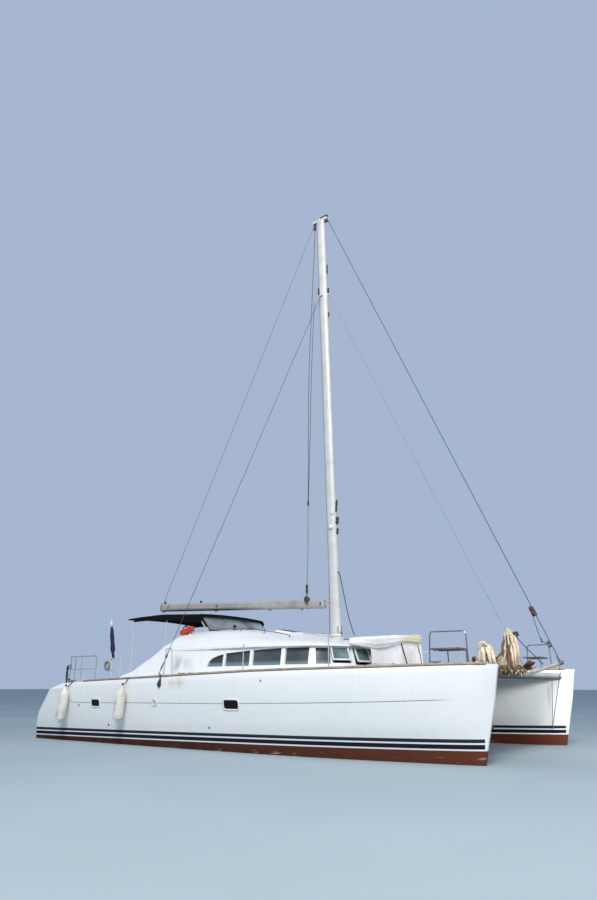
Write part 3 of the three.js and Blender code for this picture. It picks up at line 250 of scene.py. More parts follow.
def bottom_red(paint, x, over):
    """Red bottom paint: redder ahead, browner deep down, with a pale scum below its edge."""
    red = paint.mix(paint.mask(paint.noise(5.0, 5, 0.65), 0.35, 0.7), BOTTOM_RED, (0.080, 0.022, 0.011))
    red = paint.mix(paint.mask(paint.rise(x, 0.083, 0.5), 0.50, 1.0, 0.75), red, (0.15, 0.038, 0.016))
    scum = paint.mask(paint.noise(2.2, 6, 0.7, stretch=(1, 1, 6), seed=7.0), 0.6, 0.68)
    red = paint.mix(paint.times(scum, paint.band(over, -0.22, -0.12, 0.05)), red, (0.55, 0.46, 0.38))
    return paint.mix(paint.rise(over, -2.2, -0.25), red, (0.045, 0.03, 0.02))


def hull_paint():
    paint, base = gelcoat("hull_gelcoat", 0.10)
    x, y, z = (paint.axis(name) for name in "XYZ")
    over = paint.math("SUBTRACT", z, paint.line(x, PAINT_EDGE))
    base = boot_stripes(paint, base, x, z, over)
    base = paint.mix(paint.math("LESS_THAN", over, 0.0), base, bottom_red(paint, x, over))
    # the knuckle shows on the outboard sides alone, its groove darkened with painted shade
    off = paint.math("SUBTRACT", z, paint.line(x, KNUCKLE))
    outboard = paint.math("GREATER_THAN", paint.math("ABSOLUTE", y), OUTBOARD_FROM)
    groove = paint.band(off, -KNUCKLE_HALF, KNUCKLE_HALF, 0.006)
    groove = paint.times(groove, outboard, paint.band(x, *KNUCKLE_ENDS, 0.4))
    base = paint.mix(paint.times(groove, 0.8), base, (0.16, 0.17, 0.19))
    # grey-green tide mark above the stripes
    base = paint.mix(paint.times(paint.band(over, 0.19, 0.36, 0.12), 0.10), base, (0.50, 0.55, 0.52))
    # brown run-off under the deck edge, aft of the windows
    runs = paint.mask(paint.noise(2.4, 5, 0.65, stretch=(2, 2, 0.8), seed=21.0), 0.42, 0.62)
    spot = paint.times(paint.band(x, -1.05, -0.25, 0.35), paint.band(z, 1.27, 1.45, 0.16), runs, 0.55)
    paint.colour(paint.mix(spot, base, (0.42, 0.34, 0.22)))
    matt = paint.math("LESS_THAN", over, MATT_BELOW)
    gloss = paint.ramp(paint.noise(3.0, 3), (0.3, 0.26), (0.8, 0.42))
    paint.rough(paint.mix(matt, gloss, (0.8, 0.8, 0.8)))
    paint.bump(groove, -0.004)
    return paint.material


def deck_paint():
    """White laminate, sanded for grip where it faces up, with grime in the grip."""
    paint, base = gelcoat("deck_gelcoat")
    mask = paint.mask(paint.upward(), 0.80, 0.88)
    cloud = paint.noise(1.6, 5, 0.6, seed=11.0)
    dirt = paint.ramp(cloud, (0.35, (0.62, 0.61, 0.57)), (0.7, (0.72, 0.72, 0.69)))
    paint.colour(paint.mix(mask, base, dirt))
    paint.bump(paint.times(paint.noise(260, 2), mask), 0.002, 0.6)
    return paint.material


# Heights of the line of painted shadow under the coachroof's brow, and where it starts
BROW_SHADOW_LINE = (2.112, 2.126)
BROW_SHADOW_ENDS = (-0.55, 9.0)


def roof_paint():
    """The coachroof's laminate: a brown line of painted shadow under the brow, and a greyer patch low at its
    aft end.
    """
    paint, base = gelcoat("roof_gelcoat", 0.25)
    x, z = paint.axis("X"), paint.axis("Z")
    # the brown line under the brow is painted shadow
    line = paint.times(paint.band(z, *BROW_SHADOW_LINE, 0.006), paint.band(x, *BROW_SHADOW_ENDS, 0.3))
    line = paint.times(line, paint.ramp(paint.noise(3.0, 4), (0.3, 0.35), (0.6, 0.95)))
    base = paint.mix(line, base, (0.22, 0.17, 0.11))
    aft_grey_patch = paint.times(paint.band(x, -1.75, -1.20, 0.35), paint.band(z, 1.62, 1.98, 0.2),
                         paint.mask(paint.noise(2.6, 5, 0.6, seed=5.0), 0.42, 0.6, 0.75))
    paint.colour(paint.mix(aft_grey_patch, base, (0.30, 0.31, 0.31)))
    return paint.material


def glass_paint():
    """Smoked acrylic: nearly black, with a paler reflection low down and fine scratches."""
    paint = Paint("smoked_acrylic", (0.035, 0.05, 0.052), 0.2, Specular_IOR_Level=0.12)
    low = paint.band(paint.axis("Z"), 1.66, 1.80, 0.06)
    cloud = paint.noise(1.1, 3, 0.6)
    base = paint.ramp(cloud, (0.35, (0.040, 0.052, 0.056)), (0.7, (0.085, 0.105, 0.110)))
    paint.colour(paint.mix(paint.times(low, 0.75), base, (0.16, 0.24, 0.26)))
    paint.rough(paint.ramp(paint.noise(30, 4, 0.7), (0.4, 0.20), (0.75, 0.34)))
    return paint.material


def metal_paint(name, colour, dark, rough, metal, scale, grain, gloss=0.5):
    """Metal or painted metal with cloudy tarnish and fine marks."""
    paint = Paint(name, colour, rough, metal, Specular_IOR_Level=gloss)
    paint.colour(paint.mix(paint.mask(paint.noise(scale, 5, 0.6), 0.4, 0.72), colour, dark))
    marks = paint.noise(grain, 3, 0.6)
    paint.rough(paint.ramp(marks, (0.3, rough * 0.7), (0.7, min(1.0, rough * 1.4))))
    paint.bump(paint.noise(grain, 2, 0.5), 0.0006, 0.4)
    return paint.material


WEAVE = 900.0 / 6.28


def cloth_paint(name, colour, stain, stain_share=0.5, sheen=0.2):
    """Woven cloth: fine threads both ways, slow fading and damp stains."""
    paint = Paint(name, colour, 0.85, Sheen_Weight=sheen, Sheen_Roughness=0.5, Specular_IOR_Level=0.15)
    cloud = paint.noise(1.3, 6, 0.65, seed=2.0)
    base = paint.mix(paint.mask(cloud, 0.62 - 0.25 * stain_share, 0.80 - 0.15 * stain_share), colour, stain)
    fine = paint.noise(14, 4, 0.6, seed=4.0)
    base = paint.mix(paint.ramp(fine, (0.35, 0.10), (0.7, 0.0)), base, tuple(0.6 * x for x in colour))
    paint.colour(base)
    paint.bump(paint.math("ADD", paint.wave(WEAVE, "DIAGONAL"), paint.wave(WEAVE, "Z")), 0.0006, 0.35)
    paint.bump(paint.noise(6.0, 4, 0.6), 0.012, 0.35)
    return paint, base


def cloth(*settings):
    return cloth_paint(*settings)[0].material


# brown of the painted shade low on the heap
HEAP_SHADE_BROWN = (0.150, 0.088, 0.045)


def low_shade(paint, base, share):
    """Browner in patches where the heap lies low, as painted shade."""
    low = paint.rise(paint.axis("Z"), -3.6, 6.85)
    patch = paint.ramp(paint.noise(9, 4, 0.6, seed=7.0), (0.38, 0.15 * share), (0.60, share))
    return paint.mix(paint.times(low, patch), base, HEAP_SHADE_BROWN)


def heap_cloth():
    """The heap's paler folds."""
    paint, base = cloth_paint("pale_cloth", (0.74, 0.66, 0.51), (0.34, 0.22, 0.11), 0.9, 0.0)
    paint.colour(low_shade(paint, base, 0.8))
    return paint.material


def sail_paint():
    """The heap itself: cream, with dark creases of painted shade and pale creases of painted highlight."""
    paint, base = cloth_paint("sail_cloth", (0.66, 0.57, 0.42), (0.40, 0.27, 0.16), 0.9)
    crease = paint.noise(1.0, 5, 0.6, stretch=(10, 10, 1.2), seed=9.0)
    # dark creases: painted shade; pale creases: painted highlights
    base = paint.mix(paint.ramp(crease, (0.36, 0.75), (0.52, 0.0)), base, (0.20, 0.13, 0.09))
    base = paint.mix(paint.mask(crease, 0.56, 0.74, 0.7), base, (0.80, 0.76, 0.66))
    paint.colour(low_shade(paint, base, 0.9))
    paint.bump(crease, 0.03, 0.8)
    return paint.material


def awning_paint():
    """White cloth that has yellowed along its port half."""
    paint, base = cloth_paint("awning_cloth", (0.87, 0.865, 0.84), (0.72, 0.67, 0.55))
    yellow = paint.band(paint.axis("Y"), 0.45, 4.0, 0.25)
    tint = paint.ramp(paint.noise(1.5, 4, 0.6), (0.3, (0.62, 0.50, 0.27)), (0.7, (0.74, 0.66, 0.46)))
    paint.colour(paint.mix(paint.times(yellow, 0.85), base, tint))
    return paint.material


def screen_paint():
    """Hazed clear sheet: grey-blue, darker under the canopy, with ripples of glare."""
    paint = Paint("hazed_sheet", (0.16, 0.19, 0.21), 0.22, Coat_Weight=0.4)
    height = paint.rise(paint.axis("Z"), 2.0, -5.3)
    across = paint.rise(paint.axis("Y"), 0.3, 0.45)
    base = paint.ramp(across, (0.0, (0.13, 0.155, 0.175)), (1.0, (0.32, 0.36, 0.385)))
    shade = paint.times(paint.mask(height, 0.60, 0.92, 0.8), paint.math("MULTIPLY_ADD", across, -0.75, 1.0))
    base = paint.mix(shade, base, (0.035, 0.04, 0.047))
    glare = paint.mask(paint.noise(1.5, 4, 0.6, stretch=(1, 1, 3)), 0.5, 0.75, 0.45)
    paint.colour(paint.mix(glare, base, (0.40, 0.44, 0.46)))
    paint.rough(paint.ramp(paint.noise(4.0, 4), (0.3, 0.12), (0.7, 0.4)))
    paint.bump(paint.noise(2.5, 3), 0.01, 0.4)
    return paint.material


# Heights over which the crossbeam turns from painted shade below to pale above
BEAM_SHADE_FULL, BEAM_SHADE_GONE = 1.455, 1.520


def beam_paint():
    """Weathered forward beam: pale grey above, nearly black below as painted shade, and browner to starboard,
    partly a dark covering and partly painted shade.
    """
    paint = Paint("beam_alloy", (0.42, 0.43, 0.42), 0.55, 0.1)
    cloud = paint.noise(3.0, 5, 0.65, stretch=(1, 0.5, 1))
    base = paint.ramp(cloud, (0.3, (0.24, 0.25, 0.24)), (0.55, (0.42, 0.43, 0.41)),
                      (0.75, (0.52, 0.53, 0.51)))
    # browner to starboard: partly a dark covering, partly painted shade
    starboard = paint.rise(paint.axis("Y"), -0.5, 0.4)
    base = paint.mix(paint.times(starboard, 0.7), base, (0.10, 0.095, 0.08))
    # nearly black below: painted shade on the beam's underside
    span = 1 / (BEAM_SHADE_GONE - BEAM_SHADE_FULL)
    height = paint.rise(paint.axis("Z"), span, -BEAM_SHADE_FULL * span)
    paint.colour(paint.mix(height, (0.035, 0.035, 0.034), base))
    paint.bump(cloud, 0.002, 0.5)
    return paint.material


# The boom's underside, [x, z]
BOOM_LINE = [(-4.95, 3.562), (1.20, 3.286)]


def boom_paint():
    """Weathered spar: grey-tan with run-off, and a line of painted shadow along the lower edge of its after
    part.
    """
    paint = Paint("boom_alloy", (0.36, 0.35, 0.33), 0.5, 0.1)
    x, z = paint.axis("X"), paint.axis("Z")
    base = paint.ramp(paint.noise(2.0, 5, 0.6), (0.3, (0.27, 0.265, 0.25)), (0.5, (0.37, 0.36, 0.34)),
                      (0.72, (0.43, 0.42, 0.40)))
    after = paint.ramp(paint.rise(x, 0.16, 0.82), (0.0, 0.55), (0.6, 0.0))
    base = paint.mix(after, base, (0.42, 0.37, 0.28))
    # dark band under the after part: painted shadow along the boom's underside
    low = paint.math("SUBTRACT", z, paint.line(x, BOOM_LINE))
    dark = paint.times(paint.band(low, -0.20, -0.062, 0.03), paint.band(x, -4.9, -1.2, 1.2), 0.75)
    paint.colour(paint.mix(dark, base, (0.085, 0.08, 0.075)))
    paint.rough(paint.ramp(paint.noise(30, 3), (0.3, 0.4), (0.7, 0.65)))
    paint.bump(paint.noise(40, 3), 0.0006, 0.4)
    return paint.material


def wood_paint():
    paint = Paint("oiled_teak", rough=0.6)
    grain = paint.noise(3.0, 6, 0.65, stretch=(1, 14, 14))
    paint.colour(paint.ramp(grain, (0.3, (0.11, 0.055, 0.03)), (0.55, (0.23, 0.12, 0.06)),
                            (0.8, (0.31, 0.18, 0.10))))
    paint.bump(grain, 0.002, 0.5)
    return paint.material


# Where the wire runs between the gate's hoop and posts, from x to x
GUARD_WIRES = [(-0.93, 1.14), (1.21, 3.31)]
GUARD_STEEL = (0.52, 0.52, 0.50)


def guard_paint():
    """Gate hoop and posts are dull steel, and the wire between them is pale."""
    paint = Paint("guard_tube", GUARD_STEEL, 0.4, 0.2)
    wire = paint.math("MAXIMUM", *[paint.band(paint.axis("X"), *ends, 0.01) for ends in GUARD_WIRES])
    dull = paint.mix(paint.mask(paint.noise(5.0, 5, 0.6), 0.4, 0.72), GUARD_STEEL, (0.36, 0.34, 0.31))
    paint.colour(paint.mix(wire, dull, (0.86, 0.85, 0.82)))
    paint.bump(paint.noise(80.0, 2, 0.5), 0.0006, 0.4)
    return paint.material


def rust_paint():
    paint = Paint("rusty_iron", rough=0.85, metal=0.2)
    scale = paint.noise(16, 7, 0.7)
    paint.colour(paint.ramp(scale, (0.3, (0.018, 0.010, 0.008)), (0.5, (0.062, 0.022, 0.013)),
                            (0.66, (0.20, 0.066, 0.024)), (0.85, (0.33, 0.26, 0.20))))
    paint.bump(paint.noise(60, 5, 0.7), 0.003, 0.8)
    return paint.material


def rope_paint(name, colour, fleck):
    """Braided rope: slanting strands with a fleck colour."""
    paint = Paint(name, colour, 0.8)
    strand = paint.wave(60, "DIAGONAL")
    paint.colour(paint.mix(paint.mask(strand, 0.55, 0.7, 0.6), colour, fleck))
    paint.bump(strand, 0.0015, 0.7)
    return paint.material


# Look, and the material slot that it belongs to, with the look's own paint or its settings
PAINTED = [
    ("hull", "gelcoat", hull_paint), ("deck", "gelcoat", deck_paint), ("roof", "gelcoat", roof_paint),
    ("glass", "dark_glass", glass_paint), ("boom", "cream_alloy", boom_paint),
    ("beam", "grey_alloy", beam_paint), ("teak", "teak", wood_paint), ("rust", "rusty_iron", rust_paint),
    ("guard_wire", "stainless", guard_paint), ("pale_cloth", "sail_cloth", heap_cloth),
    ("sail", "sail_cloth", sail_paint), ("awning", "white_canvas", awning_paint),
    ("screen", "grey_screen", screen_paint),
]
# colour, tarnish, roughness, metallic, size of clouds, size of marks, specular level where it isn't 0.5
METALS = [
    ("antifouling", "antifouling", BOTTOM_RED, (0.13, 0.035, 0.02), 0.85, 0.0, 6, 40, 0.2),
    ("casting", "black_casting", (0.018, 0.018, 0.02), (0.05, 0.05, 0.055), 0.5, 0.0, 6, 40),
    ("bronze", "bronze", (0.30, 0.19, 0.08), (0.10, 0.13, 0.08), 0.4, 1.0, 6, 40),
    ("steel", "stainless", (0.62, 0.63, 0.62), (0.42, 0.37, 0.30), 0.28, 0.9, 5, 80),
    ("tube_steel", "stainless", (0.30, 0.30, 0.29), (0.17, 0.14, 0.11), 0.34, 0.85, 5, 80),
    ("rail", "stainless", (0.43, 0.43, 0.42), (0.25, 0.23, 0.20), 0.38, 0.45, 5, 80),
    ("guard", "stainless", (0.56, 0.56, 0.54), (0.38, 0.37, 0.34), 0.4, 0.2, 5, 80),
    ("white_tube", "stainless", (0.72, 0.71, 0.68), (0.50, 0.42, 0.34), 0.4, 0.1, 5, 50),
    ("grey_metal", "stainless", (0.10, 0.105, 0.105), (0.17, 0.165, 0.155), 0.5, 0.5, 8, 60),
    ("wire", "black_rope", (0.30, 0.31, 0.31), (0.16, 0.14, 0.12), 0.4, 0.9, 3, 90),
    ("dark_wire", "stainless", (0.055, 0.058, 0.064), (0.10, 0.085, 0.07), 0.45, 0.6, 3, 90),
    ("pale_wire", "stainless", (0.36, 0.37, 0.39), (0.24, 0.24, 0.25), 0.45, 0.4, 3, 90),
    ("alloy", "cream_alloy", (0.76, 0.73, 0.63), (0.60, 0.55, 0.44), 0.42, 0.05, 2.2, 30),
    ("spar", "cream_alloy", (0.57, 0.565, 0.545), (0.46, 0.45, 0.42), 0.42, 0.05, 2.2, 30),
    ("sprit", "cream_alloy", (0.46, 0.455, 0.43), (0.25, 0.235, 0.21), 0.5, 0.1, 6, 40),
    ("mast_rust", "rusty_iron", (0.085, 0.030, 0.020), (0.045, 0.022, 0.018), 0.7, 0.2, 9, 60),
    ("vinyl", "fender_vinyl", (0.72, 0.70, 0.62), (0.46, 0.42, 0.34), 0.55, 0.0, 4, 60),
    ("plastic", "gelcoat", (0.74, 0.75, 0.74), (0.60, 0.60, 0.56), 0.4, 0.0, 5, 60),
    ("port_glass", "dark_glass", (0.005, 0.005, 0.006), (0.012, 0.012, 0.013), 0.25, 0.0, 4, 20, 0.12),
    ("pane_glass", "dark_glass", (0.085, 0.125, 0.13), (0.22, 0.29, 0.29), 0.2, 0.0, 3, 20, 0.2),
    ("port_cap", "dark_glass", (0.52, 0.53, 0.52), (0.36, 0.36, 0.35), 0.5, 0.0, 8, 50),
    ("toe_rail", "teak", (0.42, 0.36, 0.29), (0.25, 0.20, 0.15), 0.6, 0.1, 5, 50),
    # the dark strip under the toe rail, as painted shadow
    ("bedding", "teak", (0.16, 0.11, 0.075), (0.09, 0.06, 0.045), 0.7, 0.0, 6, 50),
]
# colour, stain, how much of it is stained, sheen
CLOTHS = [
    ("brown_cloth", "sail_cloth", (0.21, 0.125, 0.055), (0.065, 0.040, 0.022), 0.9, 0.0),
    ("olive_cloth", "sail_cloth", (0.13, 0.105, 0.070), (0.030, 0.024, 0.017), 0.9, 0.0),
    ("dark_cloth", "sail_cloth", (0.095, 0.062, 0.034), (0.022, 0.016, 0.011), 0.9, 0.0),
    ("black_canvas", "black_canvas", (0.003, 0.003, 0.0035), (0.008, 0.008, 0.009), 0.5, 0.0),
    ("white_canvas", "white_canvas", (0.86, 0.855, 0.84), (0.74, 0.72, 0.66)),
    ("cushion", "white_canvas", (0.10, 0.13, 0.22), (0.16, 0.18, 0.25)),
    ("orange", "orange_foam", (0.50, 0.040, 0.014), (0.32, 0.035, 0.02)),
    ("blue", "blue_cloth", (0.008, 0.014, 0.085), (0.02, 0.025, 0.09)),
    ("curtain", "blue_cloth", (0.030, 0.060, 0.065), (0.05, 0.08, 0.085)),
    ("net", "net", (0.035, 0.037, 0.04), (0.09, 0.09, 0.09)),
]
# colour, fleck
ROPES = [
    ("black_rope", "black_rope", (0.02, 0.02, 0.024), (0.08, 0.08, 0.09)),
    ("blue_rope", "black_rope", (0.020, 0.035, 0.10), (0.06, 0.07, 0.12)),
    ("tan_rope", "black_rope", (0.36, 0.27, 0.16), (0.14, 0.10, 0.06)),
    ("white_rope", "black_rope", (0.60, 0.57, 0.50), (0.16, 0.18, 0.30)),
]
LOOKS = {look: make() for look, _, make in PAINTED}
for table, make in ((METALS, metal_paint), (CLOTHS, cloth), (ROPES, rope_paint)):
    LOOKS.update({look: make(look, *settings) for look, _, *settings in table})

# Look of each CAD node that stays, by the start of its name
NODE_LOOKS = {
    "hull_": "hull", "keel_": "antifouling", "rudder_": "antifouling", "drive_leg_": "casting",
    "propeller_": "bronze", "bridgedeck": "deck", "coachroof": "roof", "glazing": "glass",
    "front_pane_": "pane_glass", "saloon_bulkhead": "deck", "saloon_door": "glass", "saloon_table": "teak",
    "cockpit_bench": "deck", "helm_console": "deck", "steering_wheel": "steel", "bimini_frame": "white_tube",
    "mast": "spar", "boom": "boom", "topping_lift": "wire", "crossbeam": "beam", "bowsprit": "sprit",
    "forestay_inner": "pale_wire", "forestay_outer": "dark_wire", "walkway": "deck", "anchor": "rust",
    "pulpit_": "tube_steel", "stern_rail_": "rail", "guard_rail_": "guard_wire", "lid_": "deck",
    "winch_": "casting",
}
SMOOTH_ANGLE = 32
WELD = 1e-5


def dress(name, look):
    """Give a CAD node its finish, with smooth shading between its sharp edges."""
    piece = NODES[name]
    piece.data.materials.clear()
    piece.data.materials.append(LOOKS[look])
    for face in piece.data.polygons:
        face.use_smooth = True
    piece.modifiers.new("weld", "WELD").merge_threshold = WELD
    piece.modifiers.new("edges", "EDGE_SPLIT").split_angle = math.radians(SMOOTH_ANGLE)
    piece.modifiers.new("normals", "WEIGHTED_NORMAL").keep_sharp = True


# Mesh making


def steps(low, high, count):
    """Values from low to high in this many equal steps."""
    return [low + (high - low) * i / count for i in range(count + 1)]


def turns(count, start=0.0, closed=False):
    """Angles evenly round a circle; closed ends a full turn on."""
    return [start + 2 * math.pi * k / count for k in range(count + closed)]


def squarer(value, power):
    """A sine or cosine that makes a round section squarer as the power grows over 2."""
    return math.copysign(abs(value) ** (2 / power), value)


def frames_along(path, side=None):
    """Each point of a path with its direction and two axes across it."""
    path = [Vector(p) for p in path]
    across = Vector(side) if side is not None else None
    result = []
    for i, point in enumerate(path):
        ahead = (path[min(i + 1, len(path) - 1)] - path[max(i - 1, 0)]).normalized()
        if across is None:
            across = ahead.orthogonal()
        across = (across - ahead * across.dot(ahead)).normalized()
        result.append((point, ahead, across, ahead.cross(across)))
    return result


def ring(centre, across, up, width, height, sides, power=2.0):
    points = []
    for angle in turns(sides):
        u = squarer(math.cos(angle), power) * width
        v = squarer(math.sin(angle), power) * height
        points.append(centre + across * u + up * v)
    return points


class Shape:
    """A mesh gathered from simple forms, then made into one piece."""

    def __init__(self):
        self.mesh = bmesh.new()

    def grid(self, rows, closed=False, caps=False):
        made = [[self.mesh.verts.new(p) for p in row] for row in rows]
        count = len(made[0])
        for low, high in zip(made, made[1:]):
            for i in range(count if closed else count - 1):
                j = (i + 1) % count
                self.mesh.faces.new((low[i], low[j], high[j], high[i]))
        if caps:
            self.mesh.faces.new(made[0][::-1])
            self.mesh.faces.new(made[-1])
        return self

    def tube(self, path, radius, sides=8, side=None, flat=1.0, power=2.0):
        """A tube of this radius, or of one radius per point; flat is its height to its width."""
        rows = []
        for i, (point, _, across, up) in enumerate(frames_along(path, side)):
            r = radius[i] if isinstance(radius, (list, tuple)) else radius
            rows.append(ring(point, across, up, r, r * flat, sides, power))
        return self.grid(rows, closed=True, caps=True)

    def lathe(self, centre, axis, profile, sides=20):
        """Turned form: the profile's rows are (place along the axis, radius)."""
        along = Vector(axis).normalized()
        across = along.orthogonal().normalized()
        up = along.cross(across)
        rows = [ring(Vector(centre) + along * t, across, up, r, r, sides) for t, r in profile]
        return self.grid(rows, closed=True, caps=True)

    def block(self, centre, size, turn=None, bevel=0.0):
        made = bmesh.ops.create_cube(self.mesh, size=1.0)["verts"]
        place = Matrix.Translation(centre) @ (turn or Matrix()) @ Matrix.Diagonal((*size, 1))
        bmesh.ops.transform(self.mesh, verts=made, matrix=place)
        if bevel:
            edges = list({edge for corner in made for edge in corner.link_edges})
            bmesh.ops.bevel(self.mesh, geom=edges, offset=bevel, segments=2, affect="EDGES")
        return self

    def thicken(self, thickness):
        bmesh.ops.recalc_face_normals(self.mesh, faces=self.mesh.faces)
        bmesh.ops.solidify(self.mesh, geom=self.mesh.faces[:], thickness=thickness)
        return self

    def piece(self, name, look, body=BOAT, slot="own", angle=SMOOTH_ANGLE):
        """One object with a look; the slot argument is not used."""
        bmesh.ops.recalc_face_normals(self.mesh, faces=self.mesh.faces)
        data = bpy.data.meshes.new(name)
        self.mesh.to_mesh(data)
        self.mesh.free()
        data.materials.append(LOOKS[look])
        for face in data.polygons:
            face.use_smooth = True
        data.set_sharp_from_angle(angle=math.radians(angle))
        piece = bpy.data.objects.new(name, data)
        bpy.context.scene.collection.objects.link(piece)
        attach(piece, body)
        return piece


def along_rows(rows, x):
    """Value at x on straight lines through (x, value) rows."""
    for (x0, v0), (x1, v1) in zip(rows, rows[1:]):
        if x <= x1:
            return v0 + (v1 - v0) * max(0.0, (x - x0)) / (x1 - x0)
    return rows[-1][1]


def curve_through(points, count):
    """Smooth curve through points of any length, with this many steps for each stretch."""
    points = [Vector(p) for p in points]
    ends = [points[0] * 2 - points[1], *points, points[-1] * 2 - points[-2]]
    made = []
    for a, b, c, d in zip(ends, ends[1:], ends[2:], ends[3:]):
        for k in range(count):
            t = k / count
            bend = (2 * a - 5 * b + 4 * c - d) * t ** 2 + (3 * b - a - 3 * c + d) * t ** 3
            made.append(0.5 * (2 * b + (c - a) * t + bend))
    made.append(points[-1])
    return made


def spread(points, count):
    """The same line with this many points, evenly spaced."""
    points = [Vector(p) for p in points]
    lengths = [0.0]
    for a, b in zip(points, points[1:]):
        lengths.append(lengths[-1] + (b - a).length)
    made, k = [], 0
    for want in steps(0.0, lengths[-1], count - 1):
        while k < len(points) - 2 and lengths[k + 1] < want:
            k += 1
        share = (want - lengths[k]) / max(1e-9, lengths[k + 1] - lengths[k])
        made.append(points[k].lerp(points[k + 1], share))
    return made


def ripple(point, scale, seed=0.0):
    """Smooth noise from -1 to 1 at a point."""
    return noise.noise(Vector(point) * scale + Vector((seed, 2 * seed, 3 * seed)))


def surface_of(*names):
    corners, faces = [], []
    for name in names:
        data = NODES[name].data
        start = len(corners)
        corners += [v.co.copy() for v in data.vertices]
        faces += [[start + i for i in face.vertices] for face in data.polygons]
    return BVHTree.FromPolygons(corners, faces)


HULLS = {name: surface_of(f"hull_{name}") for name in SIDES}
ROOF = surface_of("coachroof")
DECKS = surface_of("hull_starboard", "hull_port", "bridgedeck", "coachroof")
MAST = surface_of("mast")
RAY_FROM = 9.0


def down_on(surface, x, y, lift=0.0, top=RAY_FROM):
    """Point on a surface under (x, y), lifted off it."""
    place, facing, *_ = surface.ray_cast(Vector((x, y, top)), -UP)
    return None if place is None else place + facing * lift


def beside(surface, side, x, z, lift=0.0):
    """Point on a surface seen from its own side at (x, z), lifted off it."""
    place, facing, *_ = surface.ray_cast(Vector((x, side * RAY_FROM, z)), PORT * -side)
    return None if place is None else place + facing * lift


def rounded(u, v, width, height, radius, count=4):
    """Outline of a rectangle with rounded corners about (u, v)."""
    points = []
    for k, (su, sv) in enumerate([(1, 1), (-1, 1), (-1, -1), (1, -1)]):
        for i in range(count + 1):
            angle = math.pi / 2 * (k + i / count)
            points.append((u + su * (width / 2 - radius) + radius * math.cos(angle),
                           v + sv * (height / 2 - radius) + radius * math.sin(angle)))
    return points


# Canopy over the cockpit

CLOTH = 0.004
CLOTH_ANGLE = 60
BIMINI_HALF, BIMINI_CAMBER, BIMINI_END = 1.300, 0.045, 0.045
# [x, height of the canopy's edge]
BIMINI_EDGE = [(-4.930, 3.140), (-4.430, 3.165), (-3.620, 3.188), (-3.020, 3.163), (-1.960, 3.107)]
BIMINI_AFT, BIMINI_FORE = BIMINI_EDGE[0][0], BIMINI_EDGE[-1][0]
# [x, how deep the side skirts hang]
SKIRT_DEPTH = [(-4.930, 0.045), (-4.650, 0.085), (-4.430, 0.120), (-3.620, 0.165), (-1.960, 0.165)]
# how far out each row of the skirt lies, and its share of the skirt's depth
SKIRT_ROWS = [(0.004, 0.12), (0.006, 0.34), (0.004, 0.56), (0.001, 0.78), (-0.003, 0.985)]
SKIRT_WAVE, SKIRT_INSET = 0.007, 0.008
HOOP_TOPS = [-4.735, -3.385, -2.130]
HOOP_CORNER_Y, HOOP_CORNER_DROP, HOOP_UNDER = 1.235, 0.096, 0.041
HOOP_ARCH = (-1.17, -0.8, -0.4, 0.0, 0.4, 0.8, 1.17)
SLEEVE_RADIUS, SIDE_SLEEVE_RADIUS = 0.0208, 0.0165
SEAMS_Y = (-0.62, 0.62)
CANOPY_SAG, CANOPY_TENSION = 0.012, 0.004


def canopy_height(x, y):
    t = y / BIMINI_HALF
    span = max(a for a in [BIMINI_AFT, *HOOP_TOPS] if a <= x + 1e-6)
    after = min([a for a in [*HOOP_TOPS, BIMINI_FORE] if a > span], default=span + 1)
    share = (x - span) / (after - span)
    sag = CANOPY_SAG * 4 * share * (1 - share) * (1 - t ** 4)
    tension = CANOPY_TENSION * ripple((x, y, 0), 2.2)
    return along_rows(BIMINI_EDGE, x) + BIMINI_CAMBER * (1 - t * t) - sag + tension


def skirt_edge(x, side, outward, drop):
    depth = along_rows(SKIRT_DEPTH, x)
    points = []
    for out, share in SKIRT_ROWS:
        wave = SKIRT_WAVE * math.sin(9 * x + side) * share
        y = side * (BIMINI_HALF - SKIRT_INSET + out + wave)
        z = canopy_height(x, side * BIMINI_HALF) + max(drop - share * depth, -depth)
        points.append(Vector((x + outward, y, z)))
    return points


def make_canopy():
    xs = steps(BIMINI_AFT, BIMINI_FORE, 56)
    ys = steps(-BIMINI_HALF, BIMINI_HALF, 44)[1:-1]

    def row(x, outward=0.0, drop=0.0):
        middle = [Vector((x + outward, y, canopy_height(x, y) + drop)) for y in ys]
        return skirt_edge(x, -1, outward, drop)[::-1] + middle + skirt_edge(x, 1, outward, drop)

    rows = [row(xs[0] + SKIRT_INSET, -out, -share * BIMINI_END) for out, share in reversed(SKIRT_ROWS)]
    rows += [row(x) for x in xs[1:-1]]
    rows += [row(xs[-1] - SKIRT_INSET, out, -share * BIMINI_END) for out, share in SKIRT_ROWS]
    canopy = Shape().grid(rows).thicken(CLOTH).piece("canopy_cloth", "black_canvas", angle=CLOTH_ANGLE)
    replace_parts(canopy, "bimini_canopy")
    seams = Shape()
    for y in SEAMS_Y:
        seams.tube([(x, y, canopy_height(x, y) + 0.0015) for x in xs[1:-1]], 0.016, 6, PORT, flat=0.12)
    for x in HOOP_TOPS:
        seams.tube([(x, y, canopy_height(x, y) + 0.0018) for y in ys], 0.040, 6, AHEAD, flat=0.06)
    trim = seams.piece("canopy_seams", "black_canvas")


def hoop_corner(x, side):
    return Vector((x, side * HOOP_CORNER_Y, along_rows(BIMINI_EDGE, x) - HOOP_CORNER_DROP))


